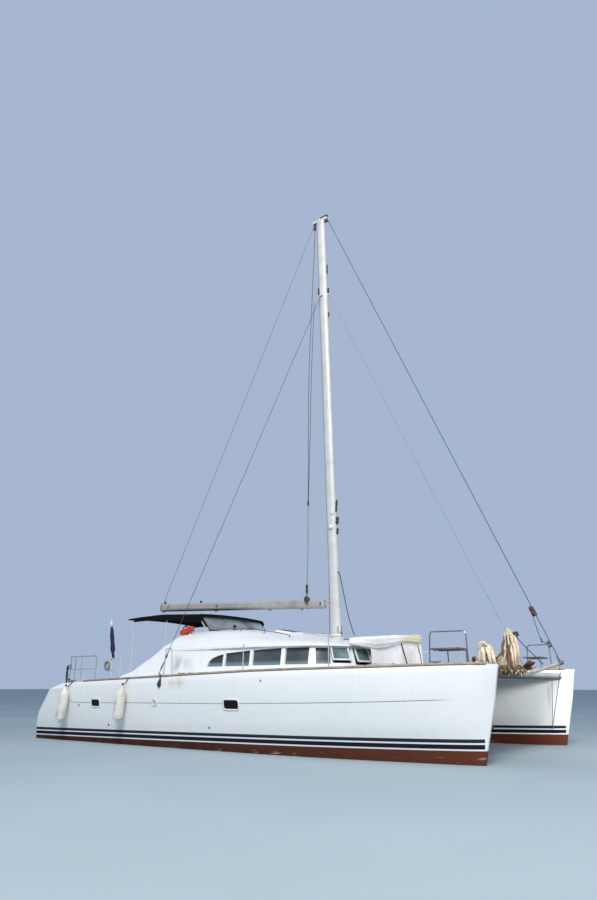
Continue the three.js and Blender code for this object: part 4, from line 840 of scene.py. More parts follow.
def make_canopy_sleeves():
    sleeves = Shape()
    for x in HOOP_TOPS:
        arch = []
        for y in HOOP_ARCH:
            camber = BIMINI_CAMBER * (1 - (y / BIMINI_HALF) ** 2)
            arch.append(Vector((x, y, along_rows(BIMINI_EDGE, x) + camber - HOOP_UNDER)))
        sleeves.tube([hoop_corner(x, -1), *arch, hoop_corner(x, 1)], SLEEVE_RADIUS, 12, AHEAD)
    for side in (-1, 1):
        sleeves.tube([hoop_corner(x, side) for x in HOOP_TOPS], SIDE_SLEEVE_RADIUS, 12)
    sleeves.piece("canopy_sleeves", "black_canvas")


# Wind screen between the canopy and the roof

SCREEN_TOP, SCREEN_FOOT, SCREEN_HALF = (-2.104, 3.128), (-1.684, 2.600), 1.262
SCREEN_FACING = (0.78, 0.62)
SCREEN_BELLY, SCREEN_TENSION = 0.012, 0.004
SCREEN_COLUMNS, SCREEN_ROWS = 40, 12
# column and half width of the bands down the screen's two ends
SCREEN_BANDS = [(0, 0.016), (SCREEN_COLUMNS, 0.010)]


def screen_point(share, y, lift=0.0):
    """A point on the screen, from its foot (0) to its head (1); it bellies forward a little."""
    x = SCREEN_FOOT[0] + (SCREEN_TOP[0] - SCREEN_FOOT[0]) * share
    z = SCREEN_FOOT[1] + (SCREEN_TOP[1] - SCREEN_FOOT[1]) * share
    belly = SCREEN_BELLY * math.sin(math.pi * share) + SCREEN_TENSION * ripple((x, y, z), 3.0)
    return Vector((x + (belly + lift) * SCREEN_FACING[0], y, z + (belly + lift) * SCREEN_FACING[1]))


def screen_foot(y):
    """How far up the screen meets the roof's aft edge."""
    share = 0.0
    while share < 0.6:
        point = screen_point(share, y)
        below = down_on(ROOF, point.x, y)
        if below is None or point.z > below.z + 0.004:
            break
        share += 0.01
    return share


def make_screen():
    ys = steps(-SCREEN_HALF, SCREEN_HALF, SCREEN_COLUMNS)
    feet = [screen_foot(y) for y in ys]
    rows = [[screen_point(foot + (1 - foot) * k / SCREEN_ROWS, y) for foot, y in zip(feet, ys)]
            for k in range(SCREEN_ROWS + 1)]
    screen = Shape().grid(rows).thicken(CLOTH).piece("screen_sheet", "screen", angle=CLOTH_ANGLE)
    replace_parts(screen, "wind_screen")
    bands = Shape()
    for i, width in SCREEN_BANDS:
        inner = ys[i] - math.copysign(1, ys[i]) * width
        shares = [feet[i] + (1 - feet[i]) * k / SCREEN_ROWS for k in range(SCREEN_ROWS + 1)]
        bands.tube([screen_point(share, inner, 0.003) for share in shares], width, 6, PORT, flat=0.16)
    hem = [screen_point(foot + 0.03, y, 0.004) for foot, y in zip(feet, ys)]
    bands.tube(hem, 0.022, 6, side=(0, 0.2, 1), flat=0.2)
    edges = bands.piece("screen_edges", "black_canvas")


# Canvas over the port front windows, and the rolled awning above it

COVER_HEM = {"z": 1.560, "front": 3.075, "half": 2.675}
COVER_HEAD = {"z": 2.330, "front": 3.045, "half": 2.665}
COVER_POWER, ROOF_BOW = 4, 2.6
COVER_ENDS = (-0.164, 1.180)
COVER_COLUMNS, COVER_ROWS, COVER_STEP = 96, 22, 0.044
COVER_SEAMS = (0, 18, 40, 63, 80, 96)


def cover_line(share):
    """The cover's plan outline at this share of its height, as even points."""
    front = COVER_HEM["front"] + (COVER_HEAD["front"] - COVER_HEM["front"]) * share
    half = COVER_HEM["half"] + (COVER_HEAD["half"] - COVER_HEM["half"]) * share
    points = []
    for angle in steps(*COVER_ENDS, 200):
        c, s = squarer(math.cos(angle), COVER_POWER), squarer(math.sin(angle), COVER_POWER)
        points.append((front - ROOF_BOW + ROOF_BOW * c, half * s, 0))
    return spread(points, COVER_COLUMNS + 1)


def cover_fold(i, share):
    """How far the cover stands out at a column and share of its height: slow folds and fine ones."""
    run = i * COVER_STEP
    fold = 0.010 * ripple((run * 1.2, 0, share * 0.6), 2.3) + 0.004 * math.sin(run * 5 + 2 * share)
    fold *= 1.25 - share
    fold += 0.003 * math.sin(run * 26 + 1.5 * math.sin(3 * share)) * math.sin(math.pi * share)
    return fold - 0.013


def make_cover():
    low_line, high_line = cover_line(0), cover_line(1)
    lows = []
    for point in low_line:
        deck = down_on(DECKS, point.x, point.y, top=1.9)
        lows.append(max(COVER_HEM["z"], deck.z + 0.006 if deck else 0))
    rows = []
    for share in steps(0.0, 1.0, COVER_ROWS):
        row = []
        for i, (a, b) in enumerate(zip(low_line, high_line)):
            before, after = low_line[max(0, i - 1)], low_line[min(COVER_COLUMNS, i + 1)]
            outward = Vector((after.y - before.y, before.x - after.x, 0)).normalized()
            point = a.lerp(b, share)
            point.z = lows[i] + (COVER_HEAD["z"] - lows[i]) * share
            row.append(point + outward * cover_fold(i, share))
        rows.append(row)
    cover = Shape().grid(rows).thicken(CLOTH).piece("cover_cloth", "white_canvas", angle=CLOTH_ANGLE)
    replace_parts(cover, "window_cover")
    trim = Shape().tube([p + Vector((0.004, 0, 0.012)) for p in rows[0]], 0.014, 6)
    for i in COVER_SEAMS:
        path = [row[i] + Vector((0.003, 0.001, 0)) for row in rows]
        trim.tube(path, 0.012, 6, side=(0, 1, 0.01), flat=0.35)
    hem = trim.piece("cover_hem", "white_canvas")
    return rows


# Brown strips over the cover, partly straps and partly painted shade: column of its grid at the head and at
# the foot, and half width
COVER_STRAPS_AND_SHADE = [(34, 42, 0.030), (57, 67, 0.022)]


def make_cover_straps(rows):
    straps = Shape()
    top = COVER_ROWS - 1
    for head, foot, half in COVER_STRAPS_AND_SHADE:
        centre = []
        for k in range(top, 0, -1):
            place = head + (foot - head) * (1 - k / top)
            i = int(place)
            centre.append(rows[k][i].lerp(rows[k][i + 1], place - i) + AHEAD * 0.008)
        straps.tube(centre, half, 8, PORT, flat=0.12)
    straps.piece("cover_straps_and_shade", "brown_cloth", slot="white_canvas")


# The roll's centre line from starboard to port: x, y, half breadth, lowest and highest point
AWNING_ROWS = [
    (2.800, -1.600, 0.045, 2.170, 2.290), (2.905, -1.250, 0.110, 2.110, 2.330),
    (2.960, -0.820, 0.125, 2.075, 2.362), (2.975, -0.120, 0.130, 2.180, 2.420),
    (2.960, 0.480, 0.130, 2.275, 2.460), (2.930, 1.200, 0.130, 2.285, 2.500),
    (2.820, 1.710, 0.115, 2.290, 2.545), (2.600, 2.100, 0.105, 2.290, 2.550),
    (2.350, 2.340, 0.100, 2.290, 2.530),
]
# places of the ties that pinch the roll a little, as shares of its length
AWNING_TIES = [0.09, 0.22, 0.36, 0.50, 0.64, 0.78, 0.91]
AWNING_SIDES, AWNING_POWER = 44, 3.4
# the creases where the cloth is folded on itself: place round the section, and depth
AWNING_FOLDS = [(0.55, 0.10), (0.05, 0.08), (-0.50, 0.11), (2.60, 0.08)]


def awning_wrinkle(share, angle):
    c, s = math.cos(angle), math.sin(angle)
    wrinkle = 1 + 0.045 * ripple((share * 16, 1.5 * c, 1.5 * s), 1.6)
    wrinkle += 0.02 * ripple((share * 60, c, 3 * s), 1.4)
    for fold, depth in AWNING_FOLDS:
        wrinkle -= depth * max(0.0, math.cos(angle - fold - 0.12 * math.sin(7 * share))) ** 90
    return wrinkle


def held_in(surface, centre, reach, room, share):
    """The point at this reach from the centre, or this share of the way where a surface comes first."""
    hit = surface.ray_cast(centre, reach.normalized(), reach.length + room)[0]
    return centre + reach if hit is None else centre + (hit - centre) * share


def make_awning():
    fine = curve_through([(x, y, (low + high) / 2) for x, y, _, low, high in AWNING_ROWS], 14)
    sizes = curve_through([(half, (high - low) / 2, 0) for _, _, half, low, high in AWNING_ROWS], 14)
    rows = []
    last = len(fine) - 1
    for i, (centre, ahead, *_) in enumerate(frames_along(fine)):
        share = i / last
        across = ahead.cross(UP).normalized()
        pinch = 1 - 0.03 * sum(math.exp(-((share - tie) / 0.02) ** 2) for tie in AWNING_TIES)
        row = []
        for angle in turns(AWNING_SIDES):
            c, s = squarer(math.cos(angle), AWNING_POWER), squarer(math.sin(angle), AWNING_POWER)
            reach = across * (c * sizes[i].x) + UP * (s * sizes[i].y * 1.04)
            reach *= pinch * awning_wrinkle(share, angle) * (0.5 if i in (0, last) else 1.0)
            row.append(held_in(ROOF, centre, reach, 0.004, 0.97))
        rows.append(row)
    roll = Shape().grid(rows, closed=True, caps=True)
    roll = roll.piece("rolled_awning_cloth", "awning", angle=CLOTH_ANGLE)
    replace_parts(roll, "rolled_awning")


# Trampolines: woven sheets laced to the hulls and the beam

NET_Z = 1.459
NET_X = (3.035, 6.020)
NET_INNER, NET_GAP, NET_SAG = 0.235, 0.05, 0.020
NET_STEPS = (40, 26)
LACING_END, LACING_SIDE = 0.045, 0.042


def make_trampoline(name, side):
    low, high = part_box(f"trampoline_{name}")
    near, far = NET_INNER, max(abs(low.y), abs(high.y)) - NET_GAP
    rows = []
    for i, x in enumerate(steps(*NET_X, NET_STEPS[0])):
        row = []
        for k, y in enumerate(steps(near, far, NET_STEPS[1])):
            sag = NET_SAG * math.sin(math.pi * i / NET_STEPS[0]) * math.sin(math.pi * k / NET_STEPS[1])
            row.append(Vector((x, side * y, NET_Z - sag + 0.002 * ripple((x, y, 0), 4.0))))
        rows.append(row)
    net = Shape().grid(rows).thicken(CLOTH).piece(f"trampoline_{name}_net", "net", angle=CLOTH_ANGLE)
    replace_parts(net, f"trampoline_{name}")
    border = [row[0] for row in rows] + rows[-1][1:] + [row[-1] for row in rows[-2::-1]] + rows[0][-2:0:-1]
    trim = Shape().tube([*border, border[0]], 0.011, 6)
    lacing = Shape()
    spots = border[::3]
    centre = Vector((sum(NET_X) / 2, side * (near + far) / 2, NET_Z))
    for a, b in zip(spots, spots[1:] + spots[:1]):
        middle = (a + b) / 2
        off = middle - centre
        if abs(off.x) > (NET_X[1] - NET_X[0]) / 2 - 0.08:
            middle += AHEAD * math.copysign(LACING_END, off.x)
        else:
            middle += PORT * math.copysign(LACING_SIDE, off.y)
        lacing.tube([a, middle, b], 0.004, 5)
    hem = trim.piece(f"trampoline_{name}_hem", "net")
    laces = lacing.piece(f"trampoline_{name}_lacing", "white_rope", slot="net")


# Dropped headsail at the inner forestay

# x, half breadth, lowest and highest point, and how far it lies to starboard
SAIL_ROWS = [
    (5.010, 0.060, 1.502, 1.640, 0.060), (5.070, 0.150, 1.502, 1.830, 0.060),
    (5.140, 0.200, 1.502, 1.930, 0.060), (5.200, 0.230, 1.502, 2.120, 0.060),
    (5.300, 0.250, 1.502, 2.170, 0.060), (5.420, 0.240, 1.502, 2.130, 0.070),
    (5.510, 0.210, 1.502, 1.960, 0.090), (5.580, 0.150, 1.502, 1.800, 0.115),
    (5.660, 0.100, 1.502, 1.900, 0.150), (5.730, 0.075, 1.502, 2.200, 0.140),
    (5.800, 0.070, 1.502, 2.400, 0.135), (5.880, 0.070, 1.502, 2.450, 0.130),
    (5.950, 0.070, 1.520, 2.360, 0.125), (6.000, 0.060, 1.700, 2.250, 0.125),
    (6.040, 0.040, 1.850, 2.100, 0.125),
]
# where the heap gives way to the cloth that hangs from the forestay
SAIL_HANGS_FROM = 5.640
SAIL_FLOOR = 1.502
SAIL_SIDES = 48


def make_sail():
    fine = curve_through([(x, low, high) for x, _, low, high, _ in SAIL_ROWS], 7)
    sizes = curve_through([(half, -off, 0) for _, half, _, _, off in SAIL_ROWS], 7)
    rows = []
    for (x, low, high), size in zip(fine, sizes):
        row = []
        hanging = min(1.0, max(0.0, (x - SAIL_HANGS_FROM) / 0.10))
        pleat = 0.20 * math.sin(62 * x) * hanging
        for angle in turns(SAIL_SIDES):
            c, s = math.cos(angle), math.sin(angle)
            lumps = 0.10 * math.sin(6 * angle + 17 * x) + 0.10 * ripple((x * 7, c * 2, s * 2), 1.6)
            fold = 1 + (1 - hanging) * lumps
            fold += pleat + 0.06 * ripple((x * 20, c, s), 1.3)
            reach = min(fold, 1.03) if s > -0.3 else 1.0
            y = size.y + size.x * c * reach
            z = (low + high) / 2 + (high - low) / 2 * s * min(reach + 0.10 * hanging, 1.0)
            row.append(Vector((x + 0.012 * ripple((x, y, z), 6), y, max(z, SAIL_FLOOR))))
        rows.append(row)
    sail = Shape().grid(rows, closed=True, caps=True).piece("headsail_cloth", "sail", angle=CLOTH_ANGLE)
    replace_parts(sail, "headsail_heap")


PALE, BROWN, OLIVE = "pale_cloth", "brown_cloth", "olive_cloth"
# Loose folds of the heap: look, half width, and points
SAIL_FOLDS = [
    (PALE, 0.040, [(5.19, -0.16, 1.90), (5.22, -0.24, 2.08), (5.30, -0.27, 2.17), (5.40, -0.25, 2.12),
                   (5.46, -0.26, 1.96)]),
    (PALE, 0.035, [(5.26, -0.20, 2.10), (5.31, -0.29, 2.00), (5.34, -0.32, 1.86), (5.34, -0.33, 1.70)]),
    (PALE, 0.035, [(5.38, -0.22, 2.12), (5.43, -0.30, 1.98), (5.47, -0.32, 1.82), (5.50, -0.30, 1.64)]),
    (PALE, 0.030, [(5.48, -0.20, 2.02), (5.53, -0.28, 1.90), (5.56, -0.30, 1.76), (5.62, -0.28, 1.60)]),
    (BROWN, 0.045, [(5.00, -0.06, 1.56), (5.03, -0.14, 1.74), (5.08, -0.20, 1.88), (5.13, -0.22, 1.80),
                    (5.16, -0.24, 1.62)]),
    (BROWN, 0.030, [(5.10, -0.20, 1.60), (5.20, -0.27, 1.70), (5.30, -0.30, 1.60)]),
    (BROWN, 0.040, [(5.54, -0.20, 1.84), (5.60, -0.27, 1.74), (5.68, -0.26, 1.64), (5.78, -0.24, 1.56)]),
    (BROWN, 0.032, [(5.68, -0.20, 1.80), (5.72, -0.23, 2.00), (5.74, -0.22, 2.14), (5.78, -0.20, 2.24)]),
    (PALE, 0.024, [(5.86, -0.20, 2.46), (5.87, -0.22, 2.20), (5.92, -0.23, 1.95), (5.93, -0.22, 1.62)]),
    (PALE, 0.022, [(5.80, -0.19, 2.38), (5.80, -0.22, 2.14), (5.77, -0.23, 1.90), (5.72, -0.23, 1.70)]),
    (PALE, 0.030, [(5.93, -0.18, 2.26), (5.97, -0.21, 2.08), (5.98, -0.21, 1.90), (5.96, -0.20, 1.70)]),
    (OLIVE, 0.026, [(5.83, -0.21, 2.30), (5.85, -0.24, 2.10), (5.83, -0.25, 1.86), (5.86, -0.25, 1.62)]),
    (OLIVE, 0.030, [(5.52, -0.18, 1.62), (5.62, -0.30, 1.66), (5.74, -0.32, 1.58), (5.88, -0.30, 1.62),
                    (5.98, -0.26, 1.56)]),
    (BROWN, 0.022, [(5.28, -0.24, 1.98), (5.31, -0.30, 1.84), (5.29, -0.31, 1.70), (5.27, -0.30, 1.58)]),
    (OLIVE, 0.018, [(5.36, -0.25, 2.06), (5.40, -0.31, 1.90), (5.42, -0.33, 1.76), (5.44, -0.32, 1.60)]),
    (BROWN, 0.024, [(5.46, -0.20, 1.98), (5.50, -0.28, 1.84), (5.53, -0.30, 1.70), (5.58, -0.28, 1.56)]),
    (BROWN, 0.016, [(5.89, -0.21, 2.34), (5.90, -0.23, 2.10), (5.88, -0.24, 1.88), (5.90, -0.23, 1.66)]),
    (BROWN, 0.020, [(5.78, -0.20, 2.30), (5.75, -0.22, 2.10), (5.72, -0.22, 1.92), (5.70, -0.22, 1.74)]),
    (BROWN, 0.030, [(5.50, -0.10, 1.90), (5.58, -0.16, 1.86), (5.66, -0.20, 1.94), (5.72, -0.18, 1.84)]),
    (OLIVE, 0.026, [(5.54, -0.05, 1.76), (5.60, -0.16, 1.80), (5.66, -0.22, 1.72), (5.74, -0.24, 1.66)]),
    (BROWN, 0.036, [(5.60, -0.16, 1.56), (5.72, -0.27, 1.62), (5.84, -0.29, 1.70), (5.95, -0.26, 1.60),
                    (6.04, -0.22, 1.56)]),
]
FOLD_POINTS = 22


def make_sail_folds():
    """Folds that lie loose on the heap."""
    for look in (PALE, BROWN, OLIVE):
        shape = Shape()
        for n, (which, half, points) in enumerate(SAIL_FOLDS):
            if which != look:
                continue
            path = spread(curve_through(points, 6), FOLD_POINTS)
            path = [p + Vector((0.012, 0.012, 0.012)) * ripple(p, 9.0, n) for p in path]
            widths = []
            for i, p in enumerate(path):
                swell = math.sin(math.pi * min(1.0, (i + 1.5) / (FOLD_POINTS - 1))) ** 0.6
                widths.append(half * (0.35 + 0.65 * swell) * (1 + 0.25 * ripple(p, 14.0, n + 3)))
            shape.tube(path, widths, 12, side=(1, 0.2, 0.1), flat=0.55)
        shape.piece(f"headsail_folds_{look}", look, angle=CLOTH_ANGLE)


# Bundle of cloth and rope lashed along the crossbeam's front, starboard of the anchor: y, z, half height
BEAM_BUNDLE = [
    (-2.020, 1.560, 0.030), (-1.900, 1.575, 0.060), (-1.600, 1.580, 0.072), (-1.300, 1.575, 0.078),
    (-1.000, 1.580, 0.085), (-0.720, 1.590, 0.088), (-0.480, 1.600, 0.072), (-0.330, 1.610, 0.040),
]
BUNDLE_X, BUNDLE_POINTS, BUNDLE_SIDES = 6.175, 60, 24
# strips of cloth that wind over the bundle: look of every third one, their number and points
STRIP_LOOKS = (BROWN, OLIVE, PALE)
STRIPS, STRIP_POINTS = 10, 36
# points along the bundle where a lashing goes round it
LASHINGS = (5, 13, 20, 24, 33, 39, 50)


def bundle_rows(path):
    rows = []
    for centre, _, across, up in frames_along(path, AHEAD):
        half = along_rows([(y, h) for y, _, h in BEAM_BUNDLE], centre.y)
        row = []
        for angle in turns(BUNDLE_SIDES):
            c, s = math.cos(angle), math.sin(angle)
            lumps = 0.34 * ripple((centre.y * 9, 1.4 * c, 1.4 * s), 1.0)
            r = half * (1 + lumps + 0.11 * math.sin(3 * angle + 11 * centre.y))
            r *= 1 + 0.13 * math.sin(5 * angle - 37 * centre.y)
            row.append(centre + across * (r * c * 0.9) + up * (r * s))
        rows.append(row)
    return rows


def make_strip(strips, n, path, rows):
    strand = []
    for i in range(4 + 5 * n, min(17 + 5 * n, BUNDLE_POINTS - 3)):
        k = int(6 + 7 * math.sin(0.55 * i + 2.1 * n)) % BUNDLE_SIDES
        strand.append(rows[i][k] + (rows[i][k] - path[i]) * 0.10)
    widths = [0.006] + [0.019] * (STRIP_POINTS - 2) + [0.006]
    strips.tube(spread(curve_through(strand, 4), STRIP_POINTS), widths, 8, UP, flat=0.55)


def make_bundle():
    path = spread(curve_through([(BUNDLE_X, y, z) for y, z, _ in BEAM_BUNDLE], 6), BUNDLE_POINTS)
    rows = bundle_rows(path)
    bundle = Shape().grid(rows, closed=True, caps=True).piece("beam_bundle", "dark_cloth", angle=CLOTH_ANGLE)
    for first, look in enumerate(STRIP_LOOKS):
        strips = Shape()
        for n in range(first, STRIPS, len(STRIP_LOOKS)):
            make_strip(strips, n, path, rows)
        strips.piece(f"beam_strips_{look}", look, angle=CLOTH_ANGLE)
    ropes = Shape()
    for i in LASHINGS:
        slant = (i * 7) % 5 - 2
        loop = []
        for k, angle in enumerate(turns(BUNDLE_SIDES)):
            on_bundle = rows[i + round(slant * math.sin(angle))][k]
            loop.append(path[i] + (on_bundle - path[i]) * 1.05)
        ropes.tube([*loop, loop[0]], 0.007, 6)
    wander = [rows[i][(3 * i) % BUNDLE_SIDES // 2 + 6] + Vector((0.01, 0, 0.01)) for i in range(2, 58, 4)]
    ropes.tube(spread(curve_through(wander, 5), 80), 0.011, 8)
    ropes.piece("beam_lashing", "tan_rope")


# Staff with its furled flag

STAFF_FOOT, STAFF_HEAD = Vector((-4.600, -2.000, 1.400)), Vector((-4.820, -2.000, 3.062))
STAFF_LEAN = (STAFF_HEAD - STAFF_FOOT) / (STAFF_HEAD.z - STAFF_FOOT.z)
# turned forms, [place along the staff, radius]
STAFF_SOCKET = [(0, 0.030), (0.02, 0.030), (0.03, 0.022), (0.10, 0.020), (0.105, 0.014)]
STAFF_BALL = [(0, 0.010), (0.008, 0.022), (0.022, 0.026), (0.036, 0.020), (0.044, 0.004)]
STAFF_TRUCK = [(0, 0.014), (0.012, 0.036), (0.050, 0.042), (0.095, 0.030), (0.115, 0.014)]
# [height, half breadth, how far it blows forward of the staff]
FLAG_ROWS = [(1.990, 0.022, 0.090), (2.060, 0.040, 0.075), (2.160, 0.040, 0.060), (2.240, 0.070, 0.060),
             (2.420, 0.055, 0.045), (2.600, 0.062, 0.030), (2.760, 0.048, 0.020), (2.860, 0.030, 0.010)]
FLAG_PLEATS, PLEAT_POINTS = 9, 8


def on_staff(z):
    return STAFF_FOOT + STAFF_LEAN * (z - STAFF_FOOT.z)


def make_flag():
    start = on_staff(down_on(HULLS["starboard"], STAFF_FOOT.x, STAFF_FOOT.y).z + 0.01)
    staff = Shape().tube([start, on_staff(3.04)], 0.012, 12).lathe(start, STAFF_LEAN, STAFF_SOCKET, 16)
    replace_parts(staff.piece("flag_staff_tube", "white_tube"), "flag_staff")
    ball = Shape().lathe(on_staff(3.03), STAFF_LEAN, STAFF_BALL, 16)
    ball.lathe(on_staff(2.90), STAFF_LEAN, STAFF_TRUCK, 16).piece("flag_staff_ball", "alloy")
    rows = []
    for z in steps(FLAG_ROWS[0][0], FLAG_ROWS[-1][0], 32):
        size = along_rows([(level, half) for level, half, _ in FLAG_ROWS], z)
        forward = along_rows([(level, ahead) for level, _, ahead in FLAG_ROWS], z)
        row = []
        for k in range(FLAG_PLEATS * PLEAT_POINTS + 3):
            angle = 2 * math.pi * k / (FLAG_PLEATS * PLEAT_POINTS)
            c, s = math.cos(angle), math.sin(angle)
            r = size * (0.64 + 0.34 * math.sin(FLAG_PLEATS * angle + 2.2 * z)) + 0.00012 * k
            r += 0.06 * size * ripple((z * 5, c, s), 2)
            row.append(on_staff(z) + Vector((forward + r * c, 0.9 * r * s, 0)))
        rows.append(row)
    flag = Shape().grid(rows).piece("flag_cloth", "blue", angle=CLOTH_ANGLE)


# Frame beside the staff, and the coil of rope that hangs at its aft end

FRAME_Y = -2.035
FRAME_FEET = (-4.660, -4.235)
FRAME_TOP = [(-4.660, 1.960), (-4.630, 2.005), (-4.270, 2.010), (-4.240, 1.970)]
# radius and points [x, z] of the level bar and the hook
FRAME_BARS = [
    (0.009, [(-4.660, 1.70), (-4.236, 1.70)]),
    (0.008, [(-4.660, 1.900), (-4.735, 1.925), (-4.790, 1.915)]),
]
FRAME_SOCKET = [(0, 0.030), (0.005, 0.030), (0.010, 0.018), (0.020, 0.014)]
COIL_PLACE, COIL_RADIUS, COIL_TURNS = Vector((-4.790, -2.035, 1.825)), 0.095, 6
COIL_TIE = [(0, -0.045, 0.09), (0, 0, 0.075), (0, 0.045, 0.09), (0, 0, 0.115), (0, -0.045, 0.09)]


def make_stern_frame():
    aft, fore = (down_on(HULLS["starboard"], x, FRAME_Y) for x in FRAME_FEET)
    bars = Shape().tube([aft, *[(x, FRAME_Y, z) for x, z in FRAME_TOP], fore], 0.011, 12)
    for radius, points in FRAME_BARS:
        bars.tube([(x, FRAME_Y, z) for x, z in points], radius, 10)
    for place in (aft, fore):
        bars.lathe(place, UP, FRAME_SOCKET, 16)
    bars.piece("stern_frame", "guard")


def make_coil():
    for first, look in enumerate(("black_rope", "white_rope")):
        coil = Shape()
        for n in range(first, COIL_TURNS, 2):
            path = []
            for angle in turns(28, closed=True):
                r = COIL_RADIUS * (1 + 0.10 * math.sin(angle + 2 * n) + 0.05 * n / COIL_TURNS)
                across = 0.013 * (n - 2.5) + 0.008 * math.sin(2 * angle + n)
                up = 1.1 * r * math.sin(angle) - 0.02
                path.append(COIL_PLACE + Vector((0.8 * r * math.cos(angle), across, up)))
            coil.tube(path, 0.0085, 8)
        if first == 0:
            coil.tube([COIL_PLACE + Vector(p) for p in COIL_TIE], 0.009, 8)
        coil.piece(f"rope_coil_{first + 1}", look)


# Rescue sling in its pouch, on the roof's aft corner

# x, half breadth, lowest and highest point
POUCH_ROWS = [
    (-2.185, 0.036, 2.587, 2.633), (-2.160, 0.062, 2.550, 2.652), (-2.080, 0.070, 2.520, 2.676),
    (-1.960, 0.072, 2.554, 2.710), (-1.850, 0.070, 2.590, 2.742), (-1.800, 0.062, 2.608, 2.750),
    (-1.775, 0.036, 2.637, 2.723),
]
POUCH_Y, POUCH_SIDES, POUCH_POWER = -1.860, 36, 2 / 0.45
POUCH_STRAPS, STRAP_HALF, STRAP_SLOPE = (-2.10, -1.86), 0.014, 0.27
POUCH_FOOT_X = -1.860
# the handle's bow, [x, z]
POUCH_HANDLE = [(-2.105, 2.668), (-2.10, 2.715), (-2.06, 2.742), (-2.00, 2.757), (-1.96, 2.752),
                (-1.945, 2.712)]
POUCH_GRIP = [(0, 0.012), (0.006, 0.022), (0.05, 0.024), (0.056, 0.012)]
POUCH_FOOT = [(0, 0.045), (0.008, 0.043), (0.014, 0.020), (0.09, 0.018)]


def make_lifebuoy():
    fine = curve_through([(x, low, high) for x, _, low, high in POUCH_ROWS], 8)
    halves = curve_through([(half, 0, 0) for _, half, _, _ in POUCH_ROWS], 8)
    centres = [Vector((x, POUCH_Y, (low + high) / 2)) for x, low, high in fine]
    rows = []
    for centre, (x, low, high), half in zip(centres, fine, halves):
        row = []
        for point in ring(centre, PORT, UP, half.x, (high - low) / 2, POUCH_SIDES, POUCH_POWER):
            dent = 1 - 0.035 * (0.5 + 0.5 * ripple(point, 16)) - 0.02 * abs(math.sin(22 * x))
            row.append(held_in(ROOF, centre, (point - centre) * dent, 0.003, 0.985))
        rows.append(row)
    pouch = Shape().grid(rows, closed=True, caps=True).piece("lifebuoy_pouch", "orange", angle=CLOTH_ANGLE)
    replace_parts(pouch, "lifebuoy")
    straps = Shape()
    for x in POUCH_STRAPS:
        k = min(range(len(fine)), key=lambda i: abs(fine[i].x - x))
        loop = [centres[k] + (p - centres[k]) * 1.025 for p in rows[k]]
        edges = [[p + Vector((dx, 0, STRAP_SLOPE * dx)) for p in loop] for dx in (-STRAP_HALF, STRAP_HALF)]
        straps.grid(edges, closed=True)
    straps.thicken(-0.003).piece("lifebuoy_straps", "orange")
    handle = Shape().tube(curve_through([(x, POUCH_Y, z) for x, z in POUCH_HANDLE], 5), 0.013, 10)
    handle.lathe((-2.045, POUCH_Y, 2.750), (1, 0, 0.3), POUCH_GRIP, 14).piece("lifebuoy_handle", "casting")
    base = down_on(ROOF, POUCH_FOOT_X, POUCH_Y) - UP * 0.004
    Shape().lathe(base, UP, POUCH_FOOT, 16).piece("lifebuoy_foot", "steel")


# Fenders

# x, y, lowest and highest point
FENDERS = {"aft": (-4.400, -3.628, 0.540, 1.215), "forward": (-2.215, -3.672, 0.600, 1.240)}
FENDER_RADIUS, FENDER_LEAN = 0.120, 0.12
FENDER_AXIS = Vector((FENDER_LEAN, 0, 1)).normalized()
# [share of the length, share of the radius]: a flat foot, and shoulders drawn in to a neck
FENDER_PROFILE = [
    (0.000, 0.40), (0.004, 0.84), (0.020, 0.93), (0.060, 0.985), (0.140, 1.000), (0.300, 0.985),
    (0.520, 0.990), (0.700, 1.000), (0.760, 0.970), (0.820, 0.880), (0.870, 0.720), (0.910, 0.520),
    (0.945, 0.360), (0.975, 0.300), (1.000, 0.270), (1.012, 0.16),
]
FENDER_KNOB = [(0, 0.010), (0.008, 0.026), (0.024, 0.032), (0.040, 0.026), (0.048, 0.010)]
NECK_KNOT = [(0, 0.014), (0.010, 0.026), (0.030, 0.028), (0.045, 0.016)]
END_KNOT = [(0, 0.014), (0.012, 0.026), (0.035, 0.024), (0.05, 0.012)]
# where each lanyard goes after the deck edge
LANYARD_ENDS = {
    "aft": [(-4.58, -3.39, 1.40), (-4.70, -3.30, 1.44), (-4.722, -3.285, 1.45)],
    "forward": [(-2.20, -3.44, 1.463), (-2.19, -3.34, 1.462)],
}


def make_fender(name):
    x, y, low, high = FENDERS[name]
    axis = FENDER_AXIS
    foot = Vector((x, y, low - 0.03)) - AHEAD * FENDER_LEAN * (high - low) / 2
    length = high - low + 0.10
    shape = Shape().lathe(foot, axis, [(t * length, r * FENDER_RADIUS) for t, r in FENDER_PROFILE], 32)
    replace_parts(shape.piece(f"fender_{name}_body", "vinyl", angle=40), f"fender_{name}")
    knob = Shape().tube([foot + axis * 0.01, foot - axis * 0.05], 0.012, 10)
    knob.lathe(foot - axis * 0.085, axis, FENDER_KNOB, 18)
    knob.piece(f"fender_{name}_knob", "plastic", slot="fender_vinyl")
    neck = foot + axis * length
    edge = Vector((neck.x, y + 0.13, deck_height(neck.x)))
    route = [neck - axis * 0.01, neck + axis * 0.03, (neck.x, y + 0.06, edge.z - 0.10),
             edge + Vector((0, 0.02, -0.01)), edge + Vector((0, 0.07, 0.028)), *LANYARD_ENDS[name]]
    Shape().tube(curve_through(route, 6), 0.010, 8).piece(f"fender_{name}_lanyard", "black_rope")
    knot = Shape().lathe(neck + axis * 0.005, axis, NECK_KNOT, 12)
    knot.lathe(Vector(route[-1]) - UP * 0.02, (0.1, 0.1, 1), END_KNOT, 12)
    knot.piece(f"fender_{name}_knots", "black_rope")


